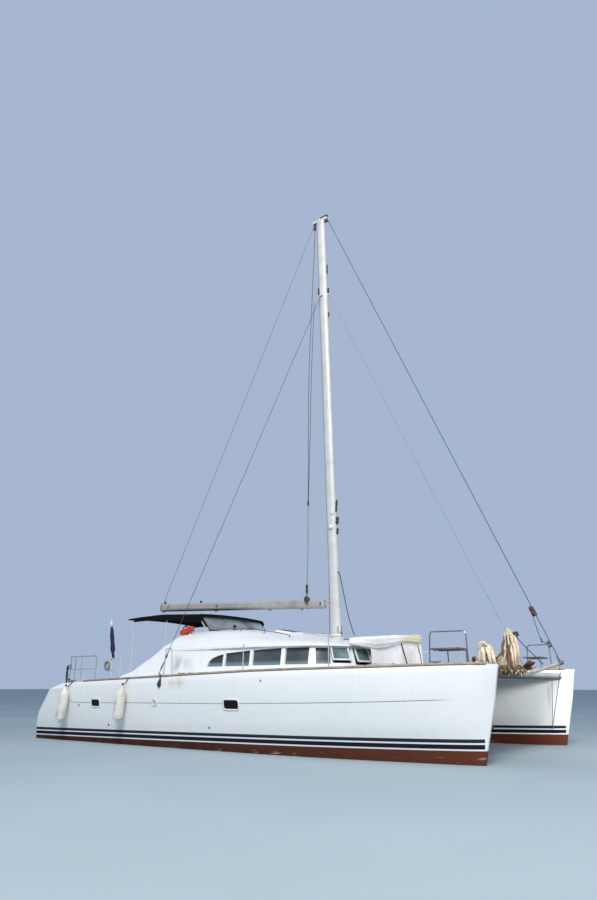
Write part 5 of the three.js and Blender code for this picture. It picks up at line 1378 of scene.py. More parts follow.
# Hank of rope made up on the stern rail's aft post
HANK_PLACE, HANK_POST = Vector((-4.752, -3.332, 1.350)), Vector((-4.720, -3.270, 1.800))
HANK_HEIGHT, HANK_HALF, HANK_LOOPS = 0.455, 0.016, 5
# the turns that bind it: their number, first height, step, radius
HANK_BINDING = (6, 0.34, 0.014, 0.026)
HITCH_RADIUS, HITCH_DROP = 0.021, -0.006


def helix(centre, radius, angles, climb):
    return [centre + Vector((radius * math.cos(a), radius * math.sin(a), climb * a)) for a in angles]


def make_hank():
    hank = Shape()
    for n in range(HANK_LOOPS):
        turn = math.pi * n / HANK_LOOPS
        way = Vector((math.cos(turn), math.sin(turn), 0))
        path = []
        for angle in turns(32, closed=True):
            half = HANK_HALF * (1 + 0.5 * math.sin(1.5 * angle + n)) + 0.004
            level = 0.5 - 0.5 * math.cos(angle) * (1 - 0.04 * n)
            path.append(HANK_PLACE + way * (half * math.sin(angle)) + UP * (HANK_HEIGHT * level))
        hank.tube(path, 0.008, 8)
    count, first, step, radius = HANK_BINDING
    for k in range(count):
        level = HANK_PLACE + UP * (first + step * k)
        hank.tube(helix(level, radius, turns(14, closed=True), 0.002), 0.007, 8)
    hitch = helix(HANK_POST, HITCH_RADIUS, [2 * math.pi * k / 14 - 2.1 for k in range(36)], HITCH_DROP)
    hank.tube([HANK_PLACE + UP * (HANK_HEIGHT - 0.02), *hitch], 0.007, 8)
    hank.piece("stern_rope_hank", "black_rope")


# Hull trim: toe rail, chocks, portlights, skin fittings, chainplates and shrouds

# Deck edge, as built: x, half breadth and height
DECK_EDGE = [
    (-4.800, 0.875, 1.350), (-4.506, 0.888, 1.365), (-4.139, 0.903, 1.384), (-3.626, 0.924, 1.407),
    (-2.965, 0.942, 1.427), (-1.523, 0.955, 1.471), (0.040, 0.955, 1.528), (1.482, 0.944, 1.576),
    (2.691, 0.907, 1.599), (3.721, 0.835, 1.612), (4.519, 0.742, 1.624), (5.197, 0.619, 1.638),
    (5.677, 0.482, 1.648), (6.022, 0.345, 1.653), (6.273, 0.185, 1.657), (6.440, 0.022, 1.660),
]
# where the toe rail starts on the outboard (1) and inboard (-1) edge, and where both end
TOE_RAIL_STARTS = {1: -3.90, -1: 3.35}
TOE_RAIL_END = 6.27
# x, inward, lift, size and edge radius of the chocks
CHOCKS = [(-3.90, 0.04, 0.02, (0.05, 0, 0.012), (0.19, 0.07, 0.055), 0.018),
          (-0.171, 0.022, 0.052, (0, 0, 0), (0.20, 0.055, 0.028), 0.010)]


def deck_height(x):
    return along_rows([(a, z) for a, _, z in DECK_EDGE], x)


def deck_edge(x, side, way, inward, lift):
    """Point on a hull's deck edge; way is 1 outboard and -1 inboard."""
    half = along_rows([(a, h) for a, h, _ in DECK_EDGE], x) - inward
    return Vector((x, side * (HULL_Y + way * half), deck_height(x) + lift))


def make_toe_rails(name, side):
    rail, strip = Shape(), Shape()
    for way, start in TOE_RAIL_STARTS.items():
        xs = [start, *[x for x, _, _ in DECK_EDGE if start < x < TOE_RAIL_END], TOE_RAIL_END]
        # the rail, and under it a dark strip of painted shadow
        for shape, inward, lift, radius, sides, flat in (
            (rail, 0.020, 0.022, 0.016, 10, 1.35), (strip, 0.010, 0.002, 0.019, 8, 0.5)
        ):
            path = spread([deck_edge(x, side, way, inward, lift) for x in xs], 60)
            shape.tube(path, radius, sides, PORT, flat=flat, power=5)
    rail.piece(f"toe_rail_{name}", "toe_rail")
    strip.piece(f"toe_rail_bedding_{name}", "bedding")
    chock = Shape()
    for x, inward, lift, off, size, bevel in CHOCKS:
        chock.block(deck_edge(x, side, 1, inward, lift) + Vector(off), size, bevel=bevel)
    chock.piece(f"deck_chocks_{name}", "plastic")


# The lights in each hull's outboard side: name, look, and x, z, width, height and corner radius
PORTLIGHTS = [
    ("aft", "port_glass", (-3.333, 0.905, 0.300, 0.150, 0.045)),
    ("fore", "port_glass", (1.015, 0.930, 0.385, 0.172, 0.050)),
    ("round", "port_cap", (-1.251, 0.941, 0.120, 0.105, 0.050)),
]
# The frame's section: how far outside the light, and how far off the hull
PORT_FRAME = [(0.036, 0.0005), (0.033, 0.010), (0.024, 0.015), (0.006, 0.014), (0.000, 0.008),
              (-0.003, 0.0005)]
PORT_PANE = 0.0048
# x, z and radius of skin fittings, and their profile [place, share of the radius]
SKIN_FITTINGS = [(-3.995, 0.845, 0.026), (1.836, 1.400, 0.020), (-2.90, 0.42, 0.028), (0.35, 0.46, 0.024)]
SKIN_PROFILE = [(0, 1.0), (0.010, 0.95), (0.014, 0.6), (0.010, 0.5)]


def hull_ring(hull, side, form, grow, lift):
    x, z, width, height, radius = form
    points = rounded(x, z, width + 2 * grow, height + 2 * grow, max(0.003, radius + grow))
    return [beside(hull, side, u, v, lift) for u, v in points]


def make_portlights(name, side):
    hull = HULLS[name]
    for label, look, form in PORTLIGHTS:
        x, z, _, height, _ = form
        rows = [hull_ring(hull, side, form, grow, lift) for grow, lift in PORT_FRAME]
        Shape().grid(rows, closed=True).piece(f"portlight_{label}_{name}_frame", "plastic", angle=50)
        rows = [hull_ring(hull, side, form, -share * height, PORT_PANE) for share in (0.0, 0.15, 0.30, 0.45)]
        rows.append([beside(hull, side, x, z, PORT_PANE)] * len(rows[0]))
        Shape().grid(rows, closed=True).piece(f"portlight_{label}_{name}_pane", look, angle=50)
    studs = Shape()
    for x, z, radius in SKIN_FITTINGS:
        place = beside(hull, side, x, z)
        outward = (beside(hull, side, x, z, 1.0) - place).normalized()
        studs.lathe(place - outward * 0.004, outward, [(t, radius * share) for t, share in SKIN_PROFILE], 18)
    studs.piece(f"skin_fittings_{name}", "tube_steel")


# Chainplate: half width at distances below its top, and the height over which it stands free
CHAINPLATE_X, CHAINPLATE_TOP, CHAINPLATE_FREE = -1.078, 1.548, 1.478
CHAINPLATE_ROWS = [(0.000, 0.016), (0.060, 0.019), (0.110, 0.032), (0.150, 0.052), (0.190, 0.066),
                   (0.225, 0.068), (0.258, 0.058), (0.284, 0.030)]
CHAINPLATE_BOLTS = (1.290, 1.245, 1.335)
BOLT_PROFILE = [(0, 0.0117), (0.004, 0.009), (0.006, 0.0036)]
# Foot and head of the port shroud
SHROUD_FOOT, SHROUD_HEAD = Vector((-1.090, 3.556, 1.556)), Vector((1.1955, 0.125, 12.430))
SCREW_SLEEVE = [(0, 0.012), (0.012, 0.019), (0.15, 0.019), (0.165, 0.012)]
SCREW_BOOT = [(0, 0.012), (0.012, 0.024), (0.05, 0.026), (0.08, 0.022), (0.10, 0.012), (0.22, 0.009)]


def make_shroud(name, side):
    hull = HULLS[name]
    rows = []
    for down, half in CHAINPLATE_ROWS:
        z = CHAINPLATE_TOP - down
        free = UP * max(0.0, z - CHAINPLATE_FREE)
        row = []
        for k in range(-3, 4):
            lift = 0.012 * (1 - (k / 3) ** 4) + 0.002
            row.append(beside(hull, side, CHAINPLATE_X + half * k / 3, min(z, CHAINPLATE_FREE), lift) + free)
        rows.append(row)
    plate = Shape().grid(rows).thicken(0.004)
    for z in CHAINPLATE_BOLTS:
        plate.lathe(beside(hull, side, CHAINPLATE_X, z, 0.012), PORT * side, BOLT_PROFILE, 12)
    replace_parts(plate.piece(f"chainplate_{name}", "dark_wire", angle=50), f"shroud_{name}")
    foot, head = (Vector((end.x, side * end.y, end.z)) for end in (SHROUD_FOOT, SHROUD_HEAD))
    axis = (head - foot).normalized()
    Shape().tube([foot + axis * 0.40, head], 0.0065, 10).piece(f"shroud_wire_{name}", "dark_wire")
    screw = Shape().block(foot - UP * 0.012, (0.030, 0.016, 0.060), bevel=0.005)
    screw.tube([foot, foot + axis * 0.16], 0.009, 10)
    screw.lathe(foot + axis * 0.10, axis, SCREW_SLEEVE, 6)
    screw.tube([foot + axis * 0.26, foot + axis * 0.40], 0.008, 10)
    screw.lathe(foot + axis * 0.36, axis, SCREW_BOOT, 14)
    screw.piece(f"shroud_screw_{name}", "grey_metal")


# Small fittings

# A horned cleat for a length of 1: place along it, height and radius
CLEAT_HORNS = [(-0.50, 0.30, 0.028), (-0.38, 0.24, 0.045), (-0.20, 0.21, 0.058), (0.0, 0.20, 0.062),
               (0.20, 0.21, 0.058), (0.38, 0.24, 0.045), (0.50, 0.30, 0.028)]
# A block's cheek and sheave for a size of 1
PULLEY_CHEEK = [(0, 0.40), (0.05, 0.42), (0.11, 0.34), (0.12, 0.10)]
PULLEY_SHEAVE = [(0, 0.36), (0.13, 0.28), (0.26, 0.36)]
SHACKLE_ANGLES = (0, 0.8, 1.6, 2.4, 3.14, 3.9, 4.7, 5.5, 6.28)


def scaled(profile, size):
    return [(t * size, r * size) for t, r in profile]


def cleat(shape, place, size):
    """A horned cleat on two feet, fore and aft."""
    for k in (-1, 1):
        foot = place + AHEAD * (k * size * 0.13)
        shape.tube([foot, foot + UP * size * 0.20], size * 0.055, 10)
    horns = [place + AHEAD * (size * t) + UP * (size * h) for t, h, _ in CLEAT_HORNS]
    shape.tube(horns, [size * r for _, _, r in CLEAT_HORNS], 12)
    shape.block(place + UP * 0.002, (size * 0.55, size * 0.20, 0.006), bevel=0.002)


def pulley(shape, top, size):
    """A block that hangs from a point: shackle, two cheeks and a sheave."""
    middle = top - UP * size * 0.95
    shackle = [top - UP * size * 0.28 * (1 - math.cos(a)) - AHEAD * size * 0.16 * math.sin(a)
               for a in SHACKLE_ANGLES]
    shape.tube(shackle, size * 0.05, 8)
    for k in (-1, 1):
        shape.lathe(middle + PORT * (k * size * 0.16), PORT * k, scaled(PULLEY_CHEEK, size), 18)
    shape.lathe(middle - PORT * size * 0.13, PORT, scaled(PULLEY_SHEAVE, size), 18)


# A light's frame for a rim and a rise of 1, and how far in its pane's rings lie for a half of 1
LIGHT_FRAME = [(1.0, 0.02), (0.92, 0.7), (0.70, 1.0), (0.18, 0.95), (0.0, 0.55), (-0.08, 0.02)]
LIGHT_PANE, PANE_RINGS = 0.42, (0.0, 0.3, 0.6, 0.9)


def light(name, project, form, rim, rise, body=BOAT, pane=True):
    """A pane in a raised frame; project(u, v, lift) gives the point on its carrier."""
    u, v, width, height, radius = form

    def ring_at(grow, lift):
        corners = rounded(u, v, width + 2 * grow, height + 2 * grow, max(0.004, radius + grow))
        outline = [(a, b, 0) for a, b in [*corners, corners[0]]]
        return [project(p.x, p.y, lift) for p in spread(outline, 73)[:-1]]

    rows = [ring_at(rim * grow, rise * lift) for grow, lift in LIGHT_FRAME]
    Shape().grid(rows, closed=True).piece(f"{name}_frame", "tube_steel", body, slot=None, angle=50)
    if pane:
        inward = 0.5 * min(width, height)
        rows = [ring_at(-k * inward, LIGHT_PANE * rise) for k in PANE_RINGS]
        rows.append([project(u, v, LIGHT_PANE * rise)] * len(rows[0]))
        Shape().grid(rows, closed=True).piece(f"{name}_pane", "port_glass", body, angle=50)


def make_ajar_frames():
    """White bars round the two front panes that stand ajar."""
    for name in ("inner", "outer"):
        data = NODES[f"front_pane_{name}"].data
        face = max(data.polygons, key=lambda f: (round(f.area, 4), f.normal.x))
        facing = face.normal if face.normal.x > 0 else -face.normal
        flats = [f for f in data.polygons if f.normal.dot(facing) > 0.99]
        corners = {tuple(round(c, 5) for c in data.vertices[i].co) for f in flats for i in f.vertices}
        corners = [Vector(c) for c in corners]
        middle = sum(corners, Vector()) / len(corners)
        across = UP.cross(facing).normalized()
        up = facing.cross(across)
        corners.sort(key=lambda c: math.atan2((c - middle).dot(up), (c - middle).dot(across)))
        inset = [c + (middle - c).normalized() * 0.022 + facing * 0.004 for c in corners]
        bars = Shape()
        for a, b in zip(inset, inset[1:] + inset[:1]):
            if (b - a).length > 0.02:
                bars.tube([a, b], 0.017, 8, side=facing, power=4)
        bars.piece(f"front_pane_{name}_bars", "plastic")


# Each lid's aft and forward end and its distance from the boat's middle
LIDS = {"foredeck": (3.9, 4.45, 2.55), "engine": (-4.35, -3.85, 2.40), "roof": (0.39, 0.87, 0.90)}
# Centre, size and corner radius of a lid's pane
LID_LIGHTS = {"foredeck": (4.175, 2.55, 0.40, 0.38, 0.05), "roof": (0.630, 0.90, 0.34, 0.36, 0.05)}
LID_RIM, LID_RISE = 0.018, 0.007
LATCH_PROFILE = [(0, 0.016), (0.006, 0.016), (0.010, 0.011), (0.012, 0.004)]
# The grip's bow: across, up
GRIP_BOW = [(-0.06, 0.0), (-0.055, 0.018), (-0.03, 0.024), (0.03, 0.024), (0.055, 0.018), (0.06, 0.0)]


def make_lid(kind, name, side):
    aft, fore, y = LIDS[kind]
    lid = f"lid_{kind}_{name}"
    surface = surface_of(lid)

    def on_lid(u, v, lift):
        return down_on(surface, u, side * v, lift)

    if kind in LID_LIGHTS:
        light(lid, on_lid, LID_LIGHTS[kind], LID_RIM, LID_RISE, f"{lid}_body")
    metal = Shape()
    for k in (-1, 1):
        spot = down_on(surface, fore - 0.035, side * y + k * 0.15)
        metal.block(spot + UP * 0.004, (0.050, 0.045, 0.008), bevel=0.003)
        metal.tube([spot + Vector((0.022, -0.022, 0.009)), spot + Vector((0.022, 0.022, 0.009))], 0.006, 10)
        metal.lathe(down_on(surface, aft + 0.035, side * y + k * 0.13), UP, LATCH_PROFILE, 14)
    grip = down_on(surface, aft + 0.055, side * y)
    metal.tube([grip + Vector((0, across, up)) for across, up in GRIP_BOW], 0.005, 8)
    metal.piece(f"{lid}_metal", "tube_steel", f"{lid}_body")


# [x, distance from the hull's middle to outboard, length]
DECK_CLEATS = [(5.35, 0.26, 0.24), (-0.55, 0.84, 0.22), (-4.55, 0.72, 0.24)]
FAIRLEAD_X, FAIRLEAD_HORN = 6.10, [(0.07, -0.01), (0.065, 0.03), (0.03, 0.055)]
WINCH_PROFILE = [(0.0, 0.058), (0.010, 0.060), (0.020, 0.052), (0.034, 0.040), (0.062, 0.037),
                 (0.088, 0.041), (0.094, 0.052), (0.100, 0.053), (0.104, 0.044), (0.112, 0.044),
                 (0.116, 0.053), (0.124, 0.051), (0.130, 0.030), (0.140, 0.020), (0.145, 0.010)]
WINCH_HEIGHT = WINCH_PROFILE[-1][0]
# the drum's ribs: their number, distance from its middle, and lower and upper end
RIBS, RIB_REACH, RIB_ENDS = 14, 0.0385, (0.036, 0.086)


def make_deck_cleats(name, side):
    metal = Shape()
    for x, out, size in DECK_CLEATS:
        cleat(metal, down_on(HULLS[name], x, side * (HULL_Y + out)), size)
    for way in (-1, 1):
        spot = deck_edge(FAIRLEAD_X, side, way, 0.035, 0.0)
        for k in (-1, 1):
            metal.tube([spot + Vector((along * k, 0, up)) for along, up in FAIRLEAD_HORN], 0.010, 8)
    metal.piece(f"deck_cleats_{name}", "tube_steel")


def make_winch(name):
    low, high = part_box(f"winch_{name}")
    foot = Vector(((low.x + high.x) / 2, (low.y + high.y) / 2, high.z - WINCH_HEIGHT))
    winch = Shape().lathe(foot, UP, WINCH_PROFILE, 28)
    for angle in turns(RIBS):
        reach = Vector((math.cos(angle), math.sin(angle), 0)) * RIB_REACH
        winch.tube([foot + reach + UP * end for end in RIB_ENDS], 0.0025, 6)
    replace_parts(winch.piece(f"winch_{name}_drum", "casting"), f"winch_{name}")


# Lines led aft along the roof: their number, first place and spacing at the mast, and at the clutches
LED_LINES, LED_FROM, LED_STEP, LED_TO, LED_CLOSER = 3, 0.20, 0.09, 0.92, 0.05
LED_ENDS, LED_STEPS, LED_STRAIGHT = (1.10, -0.90), 12, 4
CLUTCH_X, CLUTCH_Y, CLUTCH_STEP = -0.70, 0.80, 0.055


def make_led_lines(name, side):
    """Lines led aft to the winch, and their clutches."""
    ropes, clutch = Shape(), Shape()
    for k in range(LED_LINES):
        y = LED_FROM + LED_STEP * k
        points = []
        for i, x in enumerate(steps(*LED_ENDS, LED_STEPS)):
            bend = max(0.0, (i - LED_STRAIGHT) / (LED_STEPS - LED_STRAIGHT)) ** 1.5
            points.append(down_on(ROOF, x, side * y + side * (LED_TO - LED_CLOSER * k - y) * bend, 0.010))
        ropes.tube(points, 0.006, 8)
        spot = down_on(ROOF, CLUTCH_X, side * (CLUTCH_Y + CLUTCH_STEP * k))
        clutch.block(spot + UP * 0.022, (0.13, 0.038, 0.044), bevel=0.010)
        handle = Matrix.Rotation(-0.25, 4, "Y")
        clutch.block(spot + Vector((0.03, 0, 0.050)), (0.085, 0.020, 0.014), handle, 0.005)
    ropes.piece(f"led_lines_{name}", "white_rope")
    clutch.piece(f"clutches_{name}", "casting")


ROOF_RAIL_X, ROOF_RAIL_Y, ROOF_RAIL_HEIGHT = (-1.10, -0.35, 0.40, 1.15), 1.62, 0.055
RAIL_FOOT = [(0, 0.026), (0.004, 0.026), (0.007, 0.016), (0.012, 0.012)]


def make_roof_rail(name, side):
    rail = Shape()
    feet = [down_on(ROOF, x, side * ROOF_RAIL_Y) for x in ROOF_RAIL_X]
    tops = [p + UP * ROOF_RAIL_HEIGHT for p in feet]
    bend = AHEAD * 0.03
    rail.tube(curve_through([feet[0], tops[0] + bend, *tops[1:-1], tops[-1] - bend, feet[-1]], 8), 0.011, 12)
    for foot, top in zip(feet[1:-1], tops[1:-1]):
        rail.tube([foot, top], 0.009, 10)
    for foot in feet:
        rail.lathe(foot, UP, RAIL_FOOT, 16)
    rail.piece(f"roof_rail_{name}", "tube_steel")


# Boards over the pulpit seats: aft and forward end, height of the seat, half breadth
SEATS = {"starboard": (5.255, 5.815, 1.932, 0.150), "port": (5.375, 5.790, 1.931, 0.110)}
SEAT_SLATS, SLAT_GAP, BEARERS_Y = 4, 0.014, (-0.13, 0.13)


def make_seat(name, side):
    aft, fore, z, half = SEATS[name]
    middle = Vector(((aft + fore) / 2, side * HULL_Y, z))
    slats = Shape()
    step = (fore - aft) / SEAT_SLATS
    for k in range(SEAT_SLATS):
        centre = (aft + step * (k + 0.5), middle.y, z + 0.004)
        slats.block(centre, (step - SLAT_GAP, 2 * half, 0.020), bevel=0.005)
    for y in BEARERS_Y:
        slats.block(middle + Vector((0, y, -0.010)), (fore - aft - 0.02, 0.035, 0.016), bevel=0.004)
    slats.piece(f"pulpit_seat_{name}", "teak")


# Group of fittings: body, look, slot
FITTING_GROUPS = {
    "halyards": ("boom_body", "dark_wire", "black_rope"), "halyard_tail": ("boom_body", "tan_rope", "own"),
    "halyard_knots": ("boom_body", "black_rope", "own"), "boom_lift_tail": ("boom_body", "black_rope", "own"),
    "mast_rope": (BOAT, "blue_rope", "own"), "mast_lumps": (BOAT, "casting", "own"),
    "masthead_irons": (BOAT, "mast_rust", "own"), "hound_irons": (BOAT, "mast_rust", "own"),
    "bow_lines": (BOAT, "dark_wire", "black_rope"), "bow_rope": (BOAT, "blue_rope", "own"),
    "bobstay": (BOAT, "dark_wire", "own"), "bow_swivel": (BOAT, "rust", "own"),
    "bow_metal": (BOAT, "grey_metal", "own"), "furler": (BOAT, "casting", "own"),
}
# Lines and thin rods: group, radius, points
LINES = [
    ("halyards", 0.009, [(0.880, 0.030, 14.900), (0.749, 0.030, 12.470), (0.621, 0.020, 9.800),
                         (0.581, 0.006, 6.006)]),
    ("halyards", 0.008, [(0.880, -0.045, 12.300), (0.746, -0.040, 9.765), (0.681, -0.030, 7.800),
                         (0.600, -0.010, 6.010)]),
    ("halyard_tail", 0.014, [(0.590, -0.010, 6.020), (0.596, -0.030, 5.500), (0.607, -0.050, 4.886),
                             (0.600, -0.100, 3.620)]),
    ("boom_lift_tail", 0.007, [(-4.850, 0.030, 3.665), (-4.700, 0.050, 3.655), (-4.450, 0.070, 3.640)]),
    ("mast_rope", 0.011, [(1.512, -0.030, 4.080), (1.548, -0.045, 4.060), (1.606, -0.060, 3.989),
                          (1.740, -0.070, 3.400), (1.872, -0.075, 2.846), (2.006, -0.080, 2.470)]),
    ("bow_lines", 0.007, [(6.357, 0.030, 2.715), (6.415, 0.040, 2.440), (6.482, 0.040, 2.200),
                          (6.600, 0.020, 2.120)]),
    ("bow_lines", 0.006, [(6.790, 0.0, 1.720), (6.792, 0.0, 1.600), (6.790, 0.0, 1.505)]),
    ("bow_lines", 0.011, [(5.834, 0.0, 2.276), (5.900, -0.010, 2.315), (5.990, -0.045, 2.290),
                          (6.026, -0.060, 2.236)]),
    ("bow_rope", 0.010, [(6.026, -0.060, 2.236), (6.200, -0.045, 2.020), (6.360, -0.035, 1.850),
                         (6.480, -0.030, 1.715)]),
    ("bobstay", 0.007, [(6.790, 0.010, 1.560), (6.320, 1.150, 0.985), (5.852, 2.290, 0.410)]),
    ("bobstay", 0.006, [(6.020, 2.080, 1.420), (5.935, 2.190, 0.910), (5.852, 2.290, 0.410)]),
]
# Turned lumps: group, centre, axis, length, radius
LUMPS = [
    ("halyard_knots", (0.590, 0.0, 6.050), (0, 0, 1), 0.14, 0.030),
    ("halyard_knots", (0.600, -0.098, 3.70), (0, 0, 1), 0.24, 0.034),
    ("mast_lumps", (1.565, -0.03, 5.833), (0.1, 0, 1), 0.34, 0.030),
    ("mast_lumps", (1.590, -0.03, 5.436), (0.1, 0, 1), 0.20, 0.045),
    ("mast_lumps", (1.600, -0.03, 5.145), (0.1, 0, 1), 0.16, 0.034),
    ("masthead_irons", (0.90, 0.0, 15.13), (0, 0, 1), 0.36, 0.045),
    ("masthead_irons", (1.24, 0.0, 15.318), (1, 0, 0), 0.30, 0.045),
    ("masthead_irons", (1.33, 0.0, 15.12), (1, 0, 0), 0.14, 0.035),
    ("hound_irons", (1.40, 0.0, 12.58), (0, 0, 1), 0.20, 0.030),
    ("hound_irons", (1.02, -0.13, 12.62), (0, 0, 1), 0.22, 0.026),
    ("hound_irons", (1.41, 0.0, 13.35), (0, 0, 1), 0.34, 0.022),
    ("hound_irons", (1.40, 0.0, 11.75), (0, 0, 1), 0.16, 0.022),
    ("bow_swivel", (6.366, 0.0, 2.79), (-0.38, 0, 1), 0.22, 0.040),
    ("bow_metal", (6.637, 0.012, 2.114), (-0.38, 0, 1), 0.14, 0.034),
    ("bow_metal", (6.482, 0.040, 2.200), (-0.2, 0, 1), 0.10, 0.020),
    ("bow_metal", (6.840, 0.0, 1.742), (1, 0, 0.3), 0.09, 0.046),
    ("bow_metal", (6.781, 0.0, 1.830), (-0.38, 0, 1), 0.12, 0.018),
    ("bow_metal", (5.846, 2.311, 0.407), (0.377, -0.891, -0.253), 0.10, 0.026),
    ("bow_metal", (4.496, 2.029, 0.357), (0.161, -0.895, -0.417), 0.07, 0.050),
    ("furler", (5.955, -0.02, 2.330), (-0.38, 0, 1), 0.10, 0.085),
]
# A lump's outline for a length and a radius of 1: pinched at both ends and in the middle
LUMP_PROFILE = [(0.0, 0.45), (0.06, 0.8), (0.2, 1.0), (0.42, 0.94), (0.5, 0.72), (0.58, 0.94), (0.8, 1.0),
                (0.94, 0.8), (1.0, 0.45)]
# Groups that are set on the mast from beside it
ON_MAST = ("mast_lumps", "hound_irons")


def make_fittings():
    shapes = {group: Shape() for group in FITTING_GROUPS}
    for group, radius, points in LINES:
        shapes[group].tube(spread(curve_through(points, 6), 24), radius, 8)
    for group, centre, axis, length, radius in LUMPS:
        if group in ON_MAST:
            spot, outward = MAST.find_nearest(Vector(centre))[:2]
            centre = spot + outward * radius * 0.8
        start = Vector(centre) - Vector(axis).normalized() * length / 2
        shapes[group].lathe(start, axis, [(t * length, r * radius) for t, r in LUMP_PROFILE], 16)
    for group, (body, look, slot) in FITTING_GROUPS.items():
        shapes[group].piece(group, look, body, slot=slot, angle=50)


# The boom's middle line and its section's half breadth and height
BOOM_AT_ZERO, BOOM_SLOPE, BOOM_HALF = 3.3395, -0.045, 0.1125
# Along the boom: x, and whether the fitting stands on it or hangs from it
BOOM_FITTINGS = [(-4.800, 1), (-3.300, 1), (-4.840, -1), (-2.680, -1), (-0.700, -1), (0.370, -1)]
EYE_ANGLES = (0, 0.5, 1.05, 1.57, 2.1, 2.64, 3.14)
BOOM_BANDS, BAND_SIZE = (-4.91, -4.60, -2.60, 0.59, 1.00), (0.078, 0.1155)
GROOVE_X, GROOVE_HALF = (-4.88, -3.0, -1.0, 0.5, 1.05), 0.022
REEFING_X, REEFING_Y, REEFING_DROP = (-4.7, -3.2, -1.6, 0.0, 0.95), -0.082, 0.035
# The block that the halyards' tail is led to, and its becket
TAIL_BLOCK = Vector((0.600, -0.102, 3.600))
TAIL_BECKET = [(0.600, -0.102, 3.37), (0.600, -0.090, 3.30), (0.600, -0.070, 3.262)]


def boom_at(x, y=0.0, rise=0.0):
    """Point on the boom's middle line, moved across and up."""
    return Vector((x, y, BOOM_AT_ZERO + BOOM_SLOPE * x + rise))


def make_boom_gear():
    metal = Shape()
    slope = Matrix.Rotation(-BOOM_SLOPE, 4, "Y")
    for x, way in BOOM_FITTINGS:
        spot = boom_at(x, 0, way * BOOM_HALF)
        metal.block(spot + UP * (way * 0.004), (0.10, 0.045, 0.010), slope, 0.003)
        eye = [(0.028 * math.cos(a), 0, way * (0.006 + 0.034 * math.sin(a))) for a in EYE_ANGLES]
        metal.tube([spot + Vector(p) for p in eye], 0.006, 8)
        if way > 0:
            pulley(metal, spot + UP * 0.110, 0.075)
    pulley(metal, TAIL_BLOCK, 0.17)
    metal.tube(TAIL_BECKET, 0.009, 8)
    metal.piece("boom_fittings", "dark_wire", "boom_body", angle=45)
    bands = Shape()
    for x in BOOM_BANDS:
        rows = [ring(boom_at(x + dx), PORT, UP, *BAND_SIZE, 36, 3.0) for dx in (-0.02, 0.02)]
        bands.grid(rows, closed=True)
    bands.thicken(0.002).piece("boom_bands", "grey_metal", "boom_body")
    track = Shape()
    for way in (-1, 1):
        path = [boom_at(x, way * GROOVE_HALF, BOOM_HALF - 0.002) for x in GROOVE_X]
        track.tube(path, 0.010, 8, PORT, flat=0.7)
    track.piece("boom_groove_lips", "boom", "boom_body")
    line = Shape().tube([boom_at(x, REEFING_Y, -REEFING_DROP) for x in REEFING_X], 0.006, 8)
    line.piece("reefing_line", "white_rope", "boom_body")


MAST_BASE_X, MAST_TOP_X, MAST_LOW, MAST_HIGH = 1.430, 1.130, 2.330, 15.210
TRACK_ENDS, TRACK_AFT = (3.55, 15.0), -0.146
# height and size of the collars at the mast's foot, and their section [height, out]
COLLARS, COLLAR_SIZE = [(2.375, 1.16), (2.50, 1.05)], (0.150, 0.100)
COLLAR_SECTION = [(-0.022, 0.0), (-0.018, 0.010), (0.018, 0.010), (0.022, 0.0)]
# the mast cleats' horns, [height, out]
MAST_HORNS = [(-0.09, 0.030), (-0.05, 0.020), (0, 0.017), (0.05, 0.020), (0.09, 0.030)]
# Fittings on the mast's starboard side: name, look, x, height, and profile [out, radius]
MAST_LAMPS = [
    ("mast_plate", "guard", 1.421, 5.638, [(0.0, 0.052), (0.020, 0.052), (0.030, 0.044), (0.034, 0.010)]),
    ("mast_lamp", "plastic", 1.390, 5.263, [
        (0.0, 0.070), (0.018, 0.070), (0.030, 0.062), (0.060, 0.050), (0.078, 0.024), (0.082, 0.004)]),
]
MASTHEAD_LIGHT = [(0, 0.02), (0.01, 0.03), (0.035, 0.028), (0.05, 0.012)]


def mast_axis(z):
    return Vector((MAST_BASE_X + (MAST_TOP_X - MAST_BASE_X) * (z - MAST_LOW) / (MAST_HIGH - MAST_LOW), 0, z))


def make_mast_track():
    path = [mast_axis(z) + AHEAD * TRACK_AFT for z in steps(*TRACK_ENDS, 10)]
    track = Shape().tube(path, 0.017, 8, PORT, flat=0.6, power=4)
    track.piece("mast_track", "grey_metal", slot="cream_alloy")


def make_mast_collars():
    collar = Shape()
    for z, grow in COLLARS:
        rows = []
        for dz, out in COLLAR_SECTION:
            width, breadth = (half * grow + out for half in COLLAR_SIZE)
            rows.append(ring(mast_axis(z + dz), AHEAD, PORT, width, breadth, 40))
        collar.grid(rows, closed=True)
    collar.piece("mast_collar", "plastic", slot="cream_alloy")


def make_mast_cleats():
    cleats = Shape()
    for side in (-1, 1):
        spot = mast_axis(2.62) + Vector((0.100, side * 0.066, 0))
        out = Vector((0.55, side * 0.83, 0))
        cleats.tube([spot + out * off + UP * height for height, off in MAST_HORNS], 0.009, 10)
        cleats.tube([spot - out * 0.004, spot + out * 0.018], 0.013, 10)
    cleats.block(mast_axis(2.53) + AHEAD * 0.150, (0.045, 0.05, 0.10), bevel=0.010)
    cleats.piece("mast_cleats", "grey_metal", angle=45)


def make_mast_lamps():
    for name, look, x, z, profile in MAST_LAMPS:
        spot, outward = MAST.ray_cast(Vector((x, -1.0, z)), PORT)[:2]
        Shape().lathe(spot - outward * 0.006, outward, profile, 20).piece(name, look, slot="cream_alloy")
    top = mast_axis(15.22)
    aerial = Shape().tube([top + Vector((0.0, -0.05, 0.05)), top + Vector((-0.01, -0.05, 0.085))], 0.010, 8)
    aerial.lathe(top + Vector((0.05, 0.05, 0.06)), UP, MASTHEAD_LIGHT, 14)
    aerial.piece("masthead_light", "plastic", slot="cream_alloy")


